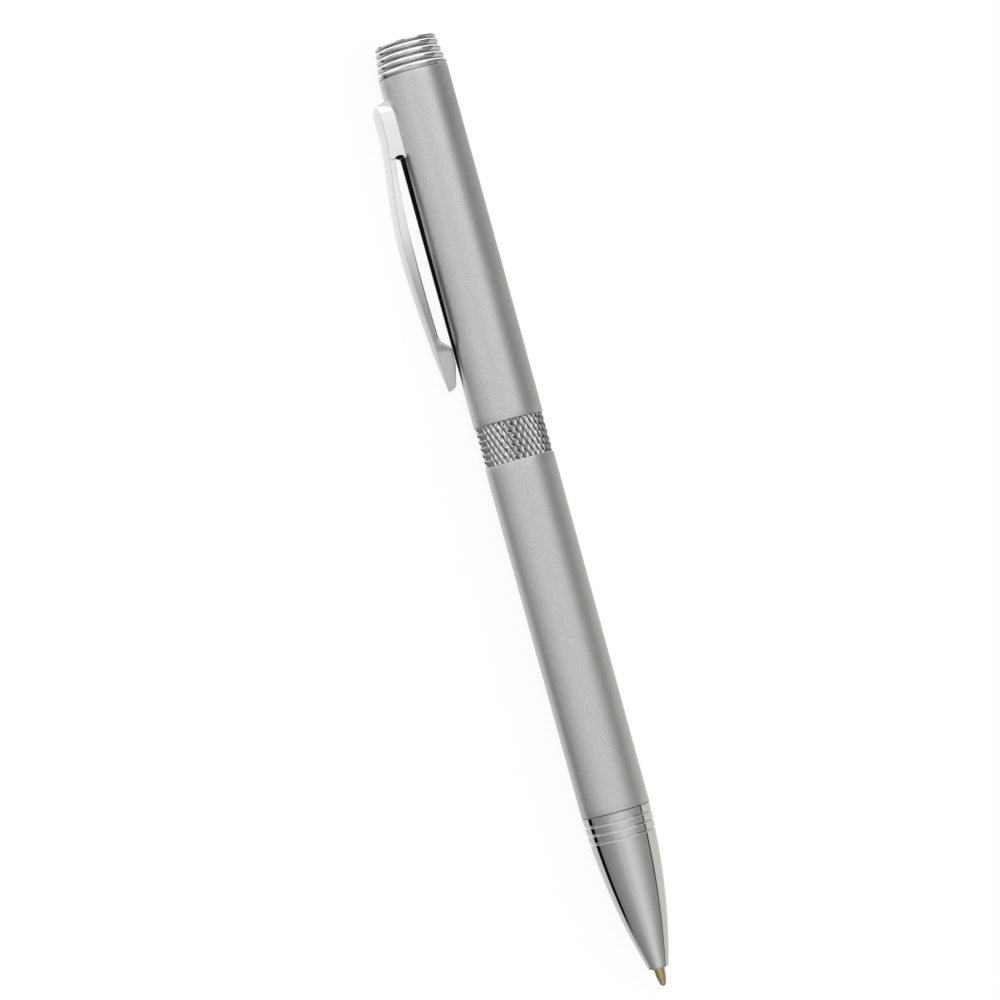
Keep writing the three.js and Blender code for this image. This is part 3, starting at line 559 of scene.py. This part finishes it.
clip = {
    "top": 132.2, "length": 42.5,
    "crestHeight": 3.7, "endHeight": 2.35, "headHeight": 2.02,   # outer face above the barrel
    "crestFromEnd": 20, "headFromTop": 3.7, "climbPower": 1.5, "sinkPower": 1.15,
    "headHalfWidth": 1.83, "waistHalfWidth": 1.18, "endHalfWidth": 0.12, "taper": 7,
    "headRound": 2.6, "headCrown": 1.2, "faceCrown": 0.1,
    "draft": 0.05, "draftFrom": 116, "draftTo": 122,   # how much narrower the foot is at the barrel
    "thin": 0.9, "thick": 1.45, "endThick": 0.2,
    "archReach": 5.85, "archRadius": 0.75, "archHeight": 123.3, "archLift": 0.46, "archStop": 152,
    "fanTo": 60, "tiltTo": 66,   # degrees that the section leans at the arch's near end and past it
    "bossGap": 0.5, "bossFrom": 3.6, "bossTo": 5.7, "bossRise": 1.9, "bossRamp": 0.2, "endRound": 0.7,
    "faceEdge": 0.07, "innerEdge": 0.34, "innerCrisp": 0.06, "crispFrom": 103, "crispTo": 115, "sunk": 0.1,
    "faceEdgeFits": 3, "innerFitsAcross": 2.5, "innerFitsDeep": 2.2,   # eases that a narrow section holds
    "cornerEase": 0.01, "sideFoot": 1.3, "facePoints": (0.72, 0.36, 0.0, -0.36, -0.72), "easePoints": 6,
    "armRows": 130, "armSpread": 1.25, "fanRows": 8, "archRows": 16, "straightRows": 12, "roundRows": 30,
    "tang": {"halfWidth": 0.9, "low": 126.1, "high": 130.7, "inner": 3.6, "outer": 6.2, "ease": 0.2,
             "rows": 4},
    # painted shade under the arch and the arm: where it starts and how softly it fades
    "sideDarkFrom": 5.25, "archIn": 0.02, "archOver": 0.05, "archSoft": 0.04,
    "underShade": (94.5, 113), "underFade": (1.5, 8),
}


def clipOuter(height):
    # Reach of the outer face: it climbs from the end to a crest by a power, then sinks to the head in an S.
    fromEnd = height - (clip["top"] - clip["length"])
    crest = shell["barrelRadius"] + clip["crestHeight"]
    share = np.clip(fromEnd / clip["crestFromEnd"], 0, 1)
    climb = crest - (clip["crestHeight"] - clip["endHeight"]) * (1 - share) ** clip["climbPower"]
    slope = clip["length"] - clip["headFromTop"] - clip["crestFromEnd"]
    sunk = np.clip((fromEnd - clip["crestFromEnd"]) / slope, 0, 1) ** clip["sinkPower"]
    return np.where(fromEnd <= clip["crestFromEnd"], climb,
                    crest - (clip["crestHeight"] - clip["headHeight"]) * smoothStep(sunk))


def clipHalfWidth(height):
    # Straight taper from head to waist, an end that narrows by 1 - (1 - share)^2, and a half-round top.
    fromEnd = height - (clip["top"] - clip["length"])
    share = np.clip((fromEnd - clip["taper"]) / (clip["length"] - clip["headRound"] - clip["taper"]), 0, 1)
    side = clip["waistHalfWidth"] + (clip["headHalfWidth"] - clip["waistHalfWidth"]) * share
    side = side * (1 - (1 - np.clip(fromEnd / clip["taper"], 0, 1)) ** 2)
    intoRound = np.clip((fromEnd - (clip["length"] - clip["headRound"])) / clip["headRound"], 0, 1)
    return np.maximum(clip["endHalfWidth"], side * np.sqrt(1 - intoRound ** 2))


def clipInner(height):
    # Reach of the arm's underside: its thickness under the outer face, or the boss where that is lower.
    fromEnd = height - (clip["top"] - clip["length"])
    outer = clipOuter(height)
    low = np.where(fromEnd < clip["crestFromEnd"], clip["endHeight"], clip["headHeight"])
    bow = (outer - shell["barrelRadius"] - low) / (clip["crestHeight"] - low)
    arm = outer - clip["thin"] - (clip["thick"] - clip["thin"]) * bow ** 2
    touch = shell["barrelRadius"] + clip["bossGap"]
    ramp = touch + clip["bossRamp"] * np.clip(clip["bossFrom"] - fromEnd, 0, None)
    boss = ramp + (arm - ramp) * smoothStep((fromEnd - clip["bossTo"]) / clip["bossRise"])
    tip = np.clip(1 - fromEnd / clip["endRound"], 0, 1) ** 2
    return boss + (outer - clip["endThick"] - boss) * tip


def clipPiece():
    # Two rails in the side view, one along the outer face and one along the inner, and a section between each
    # pair of their points. The inner rail runs under the arm, over the arch, and up the barrel's side.
    end, top = clip["top"] - clip["length"], clip["top"]
    archLow = clip["archHeight"] + clip["archLift"]
    armHeight = end + (archLow - end) * np.linspace(0, 1, clip["armRows"]) ** clip["armSpread"]
    armRails = np.stack([clipOuter(armHeight), armHeight, clipInner(armHeight), armHeight], -1)
    seat = shell["barrelRadius"] - clip["sunk"]
    start = math.acos((float(clipInner(archLow)) - clip["archReach"]) / clip["archRadius"])
    stop = math.radians(clip["archStop"])
    # The section fans out at the arch's near end, then stays steep over it
    fan, fanRows, archRows = clip["fanTo"], clip["fanRows"], clip["archRows"]
    tilt = np.radians(np.concatenate([
        np.linspace(0, fan, fanRows), np.linspace(fan, clip["tiltTo"], archRows)[1:]]))
    bend = np.concatenate([np.full(fanRows, start), np.linspace(start, stop, archRows)[1:]])
    archInner = clip["archReach"] + clip["archRadius"] * np.cos(bend)
    archInnerHeight = clip["archHeight"] + clip["archRadius"] * np.sin(bend)
    archOuter = archInnerHeight + (clipOuter(archInnerHeight) - archInner) * np.tan(tilt)
    # The last section line would cut into the arch further on, so it is drawn on down to the barrel
    slide = archInner[-1] - shell["barrelRadius"]
    archInner[-1] -= slide
    archInnerHeight[-1] -= slide * math.tan(tilt[-1])
    archRails = np.stack([clipOuter(archOuter), archOuter, archInner, archInnerHeight], -1)
    straightOuter, straightInner = (
        np.linspace(low, top - clip["headRound"], clip["straightRows"])[1:]
        for low in (archOuter[-1], archInnerHeight[-1]))
    straightSeat = np.full_like(straightOuter, seat)
    straightRails = np.stack([clipOuter(straightOuter), straightOuter, straightSeat, straightInner], -1)
    quarter = np.linspace(0, np.pi / 2, clip["roundRows"])[1:]
    roundHeight = top - clip["headRound"] * (1 - np.sin(quarter))
    drop = np.clip((roundHeight - (top - clip["headCrown"])) / clip["headCrown"], 0, 1)
    crowned = clipOuter(roundHeight) - clip["headCrown"] * (1 - np.sqrt(1 - drop ** 2))
    roundRails = np.stack([crowned, roundHeight, np.full_like(roundHeight, seat), roundHeight], -1)
    rails = np.concatenate([armRails, archRails, straightRails, roundRails])
    outer, outerHeight, inner, innerHeight = rails.T

    rows = len(outer)
    half = clipHalfWidth(outerHeight)
    inFoot = np.arange(rows) >= len(armRails)
    depth = outer - inner
    edge = np.minimum(clip["faceEdge"], half / clip["faceEdgeFits"])
    crisp = smoothStep((outerHeight - clip["crispFrom"]) / (clip["crispTo"] - clip["crispFrom"]))
    innerEase = clip["innerEdge"] + (clip["innerCrisp"] - clip["innerEdge"]) * crisp
    innerEase[len(armRails):len(armRails) + len(tilt)] *= np.cos(tilt)
    innerEase = np.minimum(innerEase, half / clip["innerFitsAcross"])
    innerEase = np.minimum(innerEase, depth / clip["innerFitsDeep"])
    still = np.full(rows, clip["cornerEase"])
    low = clip["sideFoot"] * innerEase + clip["cornerEase"]
    # Section corners as [depth from the inner rail to the outer, side, ease]
    crown = clip["faceCrown"] * half / clip["headHalfWidth"]
    faceCorners = [np.stack([depth - crown * s ** 2, s * half, still], -1) for s in clip["facePoints"]]
    corners = np.stack([
        np.stack([0 * half, -half, innerEase], -1), np.stack([0 * half, half, innerEase], -1),
        np.stack([low, half, still], -1), np.stack([depth - crown, half, edge], -1), *faceCorners,
        np.stack([depth - crown, -half, edge], -1), np.stack([low, -half, still], -1)], 1)
    section = eased(corners, clip["easePoints"])
    share = section[..., 0] / depth[:, None]
    height = innerHeight[:, None] * (1 - share) + outerHeight[:, None] * share
    nominalSide = section[..., 1] / half[:, None] * clipHalfWidth(height)
    # Towards the barrel the foot hollows out to lie round it
    seated = inFoot * smoothStep((archInner[0] - inner) / (archInner[0] - seat))
    hollow = seated[:, None] * (1 - np.clip(share, 0, 1)) * nominalSide ** 2 / (2 * shell["barrelRadius"])
    reach = inner[:, None] + section[..., 0] - hollow
    # The sides are planes: their width goes by a point's own height and by how far it lies below the face
    drafted = clip["draft"] * smoothStep((height - clip["draftFrom"]) / (clip["draftTo"] - clip["draftFrom"]))
    side = nominalSide * (1 - drafted * (clipOuter(height) - reach) / clip["headHeight"])
    columns = section.shape[1]

    # The tang through the barrel's wall, a plain eased bar
    tang = clip["tang"]
    barOutline = eased([[depth, side * tang["halfWidth"], tang["ease"]] for depth, side in (
        (tang["inner"], -1), (tang["outer"], -1), (tang["outer"], 1), (tang["inner"], 1))])
    barHeight = np.linspace(tang["low"], tang["high"], tang["rows"])[:, None]
    barPlaces = layDown(barOutline[:, 0], barOutline[:, 1], barHeight)
    places = np.concatenate([layDown(reach, side, height).reshape(-1, 3), barPlaces.reshape(-1, 3)])
    faces = [outward(places, cappedGrid(*grid)) for grid in (
        (rows, columns), (tang["rows"], len(barOutline), rows * columns))]
    return makePiece("chromeClip", places, np.concatenate(faces), sharpAngle=40), columns


chromeClip, clipColumns = clipPiece()
reach, side, height = ownPlaces(chromeClip)
archEdge = float(clipInner(clip["archHeight"] + clip["archLift"]))
seat = shell["barrelRadius"] - clip["sunk"]
seated = smoothStep((archEdge - reach) / (archEdge - seat))
unhollowed = reach + seated * side ** 2 / (2 * shell["barrelRadius"])
fromArch = np.hypot(unhollowed - clip["archReach"], height - clip["archHeight"])
# Painted shade under the arch. A section's first two corners are its underside. Beside the barrel only those
# take the arch's painted shade, because the sides' long faces would carry it up the head.
onUnderside = np.arange(len(height)) % clipColumns < 2 * clip["easePoints"]
takesDark = onUnderside | (unhollowed > clip["sideDarkFrom"])
underArch = takesDark & (height > clip["archHeight"]) & (reach < archEdge - clip["archIn"])
archDark = smoothStep((clip["archRadius"] + clip["archOver"] - fromArch) / clip["archSoft"]) * underArch
# Painted shade on the arm's underside, between the heights in underShade
(shadeIn, shadeOut), (fadeIn, fadeOut) = clip["underShade"], clip["underFade"]
underArm = smoothStep((clip["innerEdge"] - (reach - clipInner(height))) / clip["innerEdge"])
shaded = smoothStep((height - shadeIn) / fadeIn) * smoothStep((shadeOut - height) / fadeOut)
markPaintedShade(chromeClip, np.maximum(archDark, underArm * shaded * (height < clip["archHeight"])))
standIn(chromeClip, "clip", "clip", "polishedChromePlate")

# Painted shadow: a dark strip on the barrel under the clip, and painted shade at the barrel's eased ends and
# bore
reach, side, height = ownPlaces(upperBarrelTube)
stripSide = upperBarrel["shadeShare"] * clipHalfWidth(np.maximum(height, upperBarrel["shadeLow"]))
across = smoothStep((stripSide - np.abs(side)) / upperBarrel["shadeSoft"]) * (reach > 0)
alongStrip = smoothStep((height - upperBarrel["shadeLow"]) / upperBarrel["shadeStart"])
alongStrip *= smoothStep((upperBarrel["shadeHigh"] - height) / upperBarrel["shadeStop"])
endDepth = (shell["barrelRadius"] - shell["edge"] / 2 - np.hypot(reach, side)) / shell["edge"]
markPaintedShade(upperBarrelTube, np.maximum(across * alongStrip, endDepth))
print("clip made")


# Point of the refill and its ball

point = {
    "ballRadius": 0.4, "ballGap": 0.03, "ballRows": 33, "ballSides": 64,
    "rimHeight": 0.28, "rimRadius": 0.46, "coneHeight": 0.6, "coneRadius": 0.51,
    "waistHeight": 1.3, "waistRadius": 0.69, "radius": 0.82, "shankRadius": 1.15, "shankFoot": 6.24,
    "shankTaper": 1.1, "foot": 12.34, "tailRadius": 0.95, "tail": 3.0, "inkBore": 0.4,
    "cupRows": 12, "sides": 96,
}


def pointOutline():
    # A socket round the ball's back, the rim and the cone outside, and the ink bore inside. Each corner is
    # [radius, height, ease].
    socket = point["ballRadius"] + point["ballGap"]
    rimAngle = math.asin((point["ballRadius"] - point["rimHeight"]) / socket)
    backAngle = math.acos(point["inkBore"] / 2 / socket)
    turn = np.linspace(backAngle, -rimAngle, point["cupRows"])
    cup = np.stack([socket * np.cos(turn), point["ballRadius"] + socket * np.sin(turn)], -1)
    outside = eased([
        [cup[-1, 0], cup[-1, 1], 0], [point["rimRadius"], point["rimHeight"], 0.02],
        [point["coneRadius"], point["coneHeight"], 0.1], [point["waistRadius"], point["waistHeight"], 0.25],
        [point["radius"], shell["noseEnd"], 0.4],
        [point["radius"], point["shankFoot"], 0.1],
        [point["shankRadius"], point["shankFoot"] + point["shankTaper"], 0.1],
        [point["shankRadius"], point["foot"], 0.05], [point["tailRadius"], point["foot"], 0.02],
        [point["tailRadius"], point["foot"] + point["tail"], 0.05],
        [point["inkBore"], point["foot"] + point["tail"], 0.02], [point["inkBore"], point["shankFoot"], 0.05],
        [point["inkBore"] / 2, point["shankFoot"] - point["shankTaper"], 0.0],
        [cup[0, 0], cup[0, 1], 0]])
    return np.concatenate([cup, outside])


pointPiece = turnedPiece("turnedPoint", pointOutline(), point["sides"])
standIn(pointPiece, "refill", "refill_point", "turnedBrass")

latitude = np.linspace(-np.pi / 2, np.pi / 2, point["ballRows"])
ballOutline = point["ballRadius"] * np.stack([np.cos(latitude), 1 + np.sin(latitude)], -1)
ballOutline[[0, -1], 0] = 0
ballOutline = np.concatenate([ballOutline, [[0, point["ballRadius"]]]])
ballPiece = turnedPiece("carbideBall", ballOutline, point["ballSides"])
standIn(ballPiece, "writing_ball", "writing_ball", "lappedTungstenCarbide")
print("point made")


# Pieces inside, which keep the part's own shapes

insideNodes = {
    "drawnBrass": ["barrel_bush", "coupler", "guide_tube", "refill_neck"],
    "mouldedNitrileRubber": ["friction_ring"],
    "mouldedAcetal": ["lower_washer", "upper_washer", "cam_sleeve", "slider", "clip_retainer", "refill_plug"],
    "drawnStainlessSteel": ["snap_ring", "return_spring", "finial_stud", "follower_pin", "refill_tube"],
}
for finishName, nodes in insideNodes.items():
    for node in nodes:
        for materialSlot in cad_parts[node].material_slots:
            materialSlot.material = materials[finishName]
print("inside pieces finished")


# Table, light and what the metal sees

nearBlack = "#060606"   # the strip that the nose's lower side meets
studio = {
    # Lengths in metres; the glow is the share of plain white that the camera sees
    "tableSize": 3.0, "tableColour": "#F2F2F1", "tableGlow": 0.92,
    "worldLevel": 0.95,
    "lampPlace": (-0.5, -0.55, 1.1), "lampSize": 0.7, "lampPower": 5.0,
    # What polished metal meets, by a mirror ray's angle round the pen: level in front is 0, straight up 90,
    # level behind 180, and the table under the pen is below 0.
    "roundBarrel": [
        (-180, "#CFCBC7"), (-150, "#DEDCDA"), (-140, "#E4E4E2"), (-92, "#E4E4E2"), (-80, "#C8C8C6"),
        (-66, "#828281"), (-50, "#828281"), (-38, "#A4A4A2"), (-23, "#BEBEBC"), (-9, "#DADAD8"),
        (4, "#EEEEEC"), (17, "#F9F9F7"), (30, "#FBFBF9"), (42, "#EEEEEC"), (56, "#D2D2D1"),
        (70, "#B4B4B3"), (86, "#9C9C9C"), (102, "#949494"), (119, "#8F8F8F"), (136, "#949393"),
        (156, "#A8A6A4"), (180, "#C4C0BC")],
    "besideClip": [
        (-180, "#A4A19E"), (-150, "#C8C6C4"), (-140, "#ECEAE8"), (-78, "#ECEAE8"), (-66, "#9C9C9B"),
        (-54, "#848483"), (-38, "#9C9C9B"), (-23, "#C2C2C0"), (-9, "#E2E2E0"), (4, "#F6F6F4"),
        (20, "#FAFAF8"), (34, "#E2E2E0"), (46, "#C6C6C5"), (58, "#B0B0AF"), (70, "#ACACAC"), (75, "#FFFFFF"),
        (103, "#FCFCFE"),
        (109, "#A0A0A0"), (119, "#8C8C8C"), (136, "#8A8989"), (156, "#908E8C"), (180, "#A4A19E")],
    "roundNose": [
        (-180, "#DAD7D2"), (-150, "#DAD7D2"), (-140, "#DADAD6"), (-70, "#D8D8D4"), (-67, nearBlack),
        (-52, nearBlack), (-47, "#868683"), (-34, "#8C8C89"), (-17, "#969693"), (-1, "#A3A3A0"),
        (14, "#B5B5B2"), (20, "#BFBFBC"), (24, "#D0D0CD"), (28, "#C7C7C4"), (42, "#DADAD7"), (56, "#E3E3E0"),
        (70, "#DADAD7"), (84, "#C9C9C6"), (99, "#B2B2AF"), (115, "#9F9F9C"), (134, "#9B9B97"),
        (137, "#3E3936"), (141, "#3E3936"), (144, "#DAD7D2"), (180, "#DAD7D2")],
    "towardsFinial": [
        (-180, "#F4F4F2"), (-44, "#F0F0EE"), (-28, "#3A3A3A"), (-18, "#121212"), (2, "#121212"),
        (16, "#E8E8E6"), (52, "#FAFAFA"), (99, "#FAFAFA"), (108, "#121212"), (150, "#222222"),
        (165, "#EFEDEA"), (180, "#F4F4F2")],
    # Where each takes over, by the ray's share along the pen: below 0 towards the finial, above 0 towards the
    # tip. The tip's dark ends again, so that the nose isn't flat black from behind.
    "noseFrom": (0.03, 0.09), "stripTo": (0.3, 0.42), "tipDarkFrom": (0.66, 0.74), "tipDarkTo": (0.8, 0.88),
    "clipFrom": (-0.03, -0.06), "finialFrom": (-0.22, -0.3), "finialWhiteFrom": (-0.54, -0.62),
    "finialWhite": 1.35, "tipDark": "#262626",
    # Towards the finial the bright side of the tent leans over to the front
    "leanAbout": 125, "leanFull": 0.3, "leanFrom": (-0.09, -0.13), "leanLeft": (-64, -44),
    # and three windows open; each has its level, and the angles where it comes up and goes down
    "windowFrom": (-0.03, -0.14),
    "windows": [(0.15, (-150, -140), (-74, -80)), (0.24, (-45, 0), (45, 12)), (0.16, (71, 76), (106, 101))],
}


def fromTo(tree, value, limits, low=0.0, high=1.0):
    # Runs smoothly from low to high while value runs between the two limits.
    return addNode(tree, "MapRange", {
        "Value": value, "From Min": float(limits[0]), "From Max": float(limits[1]),
        "To Min": low, "To Max": high}, interpolation_type="SMOOTHSTEP").outputs["Result"]


def toneRamp(tree, angle, tones):
    share = addNode(tree, "MapRange", {"Value": angle, "From Min": -180.0, "From Max": 180.0})
    ramp = addNode(tree, "ValToRGB", {"Fac": share.outputs["Result"]})
    stops = ramp.color_ramp.elements
    for k, (degree, tone) in enumerate(tones):
        stop = stops[k] if k < 2 else stops.new(1.0)
        stop.position = (degree + 180) / 360
        stop.color = linearColour(tone)
    return ramp.outputs["Color"]


def lightTent():
    # The camera and matt surfaces meet an even white. Mirror rays meet a tent of soft tones that run along
    # the pen, placed by the ray's angle atan2(z, -y), and change by how far the ray leans along the pen.
    world = bpy.data.worlds.new("lightTent")
    world.use_nodes = True
    tree = world.node_tree
    tree.nodes.clear()
    place = addNode(tree, "TexCoord").outputs["Generated"]
    ray = addNode(tree, "SeparateXYZ", {"Vector": place})
    along = ray.outputs["X"]
    front = arithmetic(tree, "MULTIPLY", ray.outputs["Y"], -1.0)
    angle = arithmetic(tree, "DEGREES", arithmetic(tree, "ARCTAN2", ray.outputs["Z"], front))
    lean = fromTo(tree, along, studio["leanFrom"], 0.0, studio["leanFull"])
    lean = arithmetic(tree, "MULTIPLY", lean, fromTo(tree, angle, studio["leanLeft"]))
    short = arithmetic(tree, "MAXIMUM", arithmetic(tree, "SUBTRACT", float(studio["leanAbout"]), angle), 0.0)
    leant = arithmetic(tree, "MULTIPLY_ADD", short, lean, angle)

    def passing(limits, first, second):
        return mixColours(tree, fromTo(tree, along, studio[limits]), first, second)

    tone = toneRamp(tree, leant, studio["roundBarrel"])
    tone = passing("clipFrom", tone, toneRamp(tree, leant, studio["besideClip"]))
    plainNose = toneRamp(tree, angle, [stop for stop in studio["roundNose"] if stop[1] != nearBlack])
    nose = passing("stripTo", toneRamp(tree, angle, studio["roundNose"]), plainNose)
    tone = passing("noseFrom", tone, nose)
    tone = passing("tipDarkFrom", tone, linearColour(studio["tipDark"]))
    tone = passing("tipDarkTo", tone, plainNose)
    tone = passing("finialFrom", tone, toneRamp(tree, angle, studio["towardsFinial"]))
    for level, rise, fall in studio["windows"]:
        span = arithmetic(tree, "MULTIPLY", fromTo(tree, angle, rise), fromTo(tree, angle, fall))
        light = arithmetic(tree, "MULTIPLY", span, fromTo(tree, along, studio["windowFrom"], 0.0, level))
        tone = addNode(tree, "VectorMath", {0: tone, 1: light}, operation="ADD").outputs[0]
    tone = passing("finialWhiteFrom", tone, (studio["finialWhite"],) * 3 + (1.0,))
    tent = addNode(tree, "Background", {"Color": tone, "Strength": 1.0})
    path = addNode(tree, "LightPath")
    level = addNode(tree, "MapRange", {
        "Value": path.outputs["Is Camera Ray"], "To Min": studio["worldLevel"], "To Max": 1.0})
    plain = addNode(tree, "Background", {"Color": (1, 1, 1, 1), "Strength": level.outputs["Result"]})
    both = addNode(tree, "MixShader", {
        0: path.outputs["Is Glossy Ray"], 1: plain.outputs[0], 2: tent.outputs[0]})
    addNode(tree, "OutputWorld", {"Surface": both.outputs[0]})
    bpy.context.scene.world = world


def whiteTable():
    # Paper, matt and even; part of its white is only for the camera.
    half = studio["tableSize"] / 2
    mesh = bpy.data.meshes.new("table")
    corners = [(-half, -half, 0), (half, -half, 0), (half, half, 0), (-half, half, 0)]
    mesh.from_pydata(corners, [], [(0, 1, 2, 3)])
    table = addObject("table", mesh)
    material = bpy.data.materials.new("whitePaper")
    material.use_nodes = True
    tree = material.node_tree
    tree.nodes.clear()
    matt = addNode(tree, "BsdfDiffuse", {"Color": linearColour(studio["tableColour"])})
    glow = addNode(tree, "Emission", {"Color": (1, 1, 1, 1), "Strength": 1.0})
    path = addNode(tree, "LightPath")
    share = arithmetic(tree, "MULTIPLY", path.outputs["Is Camera Ray"], studio["tableGlow"])
    both = addNode(tree, "MixShader", {0: share, 1: matt.outputs[0], 2: glow.outputs[0]})
    addNode(tree, "OutputMaterial", {"Surface": both.outputs[0]})
    mesh.materials.append(material)
    table.visible_glossy = False   # the metal sees the tent's strips below level too


def softLamp():
    light = bpy.data.lights.new("softbox", "AREA")
    light.shape = "DISK"
    light.size = studio["lampSize"]
    light.energy = studio["lampPower"]
    lamp = addObject("softbox", light)
    lamp.location = studio["lampPlace"]
    lamp.rotation_mode = "QUATERNION"
    lamp.rotation_quaternion = (-lamp.location).to_track_quat("-Z", "Y")
    lamp.visible_glossy = False


lightTent()
whiteTable()
softLamp()
bpy.context.scene.view_settings.view_transform = "Standard"
print("studio made")


# Camera, square to the pen, with the finial up and to the left

camera = {
    "elevation": 47.2, "roll": 15.35,          # degrees
    "distance": 542.0, "lens": 136.5, "sensor": 36,
    "footShift": 10.0,      # how far the eye stands towards the tip from square to the aim
    "mmPerPixel": 0.1429,
    "middle": (33.8, 12.5),      # pixels from the picture's middle to the pen's, right and down
    "seesFromTo": (0.05, 20),    # metres
}
rise = math.radians(camera["elevation"])
roll = math.radians(camera["roll"])
towardsCamera = np.array([0.0, -math.cos(rise), math.sin(rise)])
acrossPen = np.array([0.0, math.sin(rise), math.cos(rise)])
pictureRight = math.cos(roll) * acrossPen - math.sin(roll) * towardsFinial
pictureUp = math.sin(roll) * acrossPen + math.cos(roll) * towardsFinial
penMiddle = ballEnd + towardsFinial * penPlace["length"] / 2
right, down = camera["middle"]
aim = penMiddle + camera["mmPerPixel"] * (down * pictureUp - right * pictureRight)
eye = aim + camera["distance"] * towardsCamera - camera["footShift"] * towardsFinial
backward = (eye - aim) / np.linalg.norm(eye - aim)
pictureRight = np.cross(pictureUp, backward)
pictureRight /= np.linalg.norm(pictureRight)
pictureUp = np.cross(backward, pictureRight)
lens = bpy.data.cameras.new("camera")
lens.lens = camera["lens"]
lens.sensor_width = camera["sensor"]
lens.clip_start, lens.clip_end = camera["seesFromTo"]
viewer = addObject("camera", lens)
axes = np.stack([pictureRight, pictureUp, backward], axis=1)
viewer.matrix_world = Matrix.Translation(Vector(eye / 1000)) @ Matrix(axes.tolist()).to_4x4()
bpy.context.scene.camera = viewer
print("camera set")
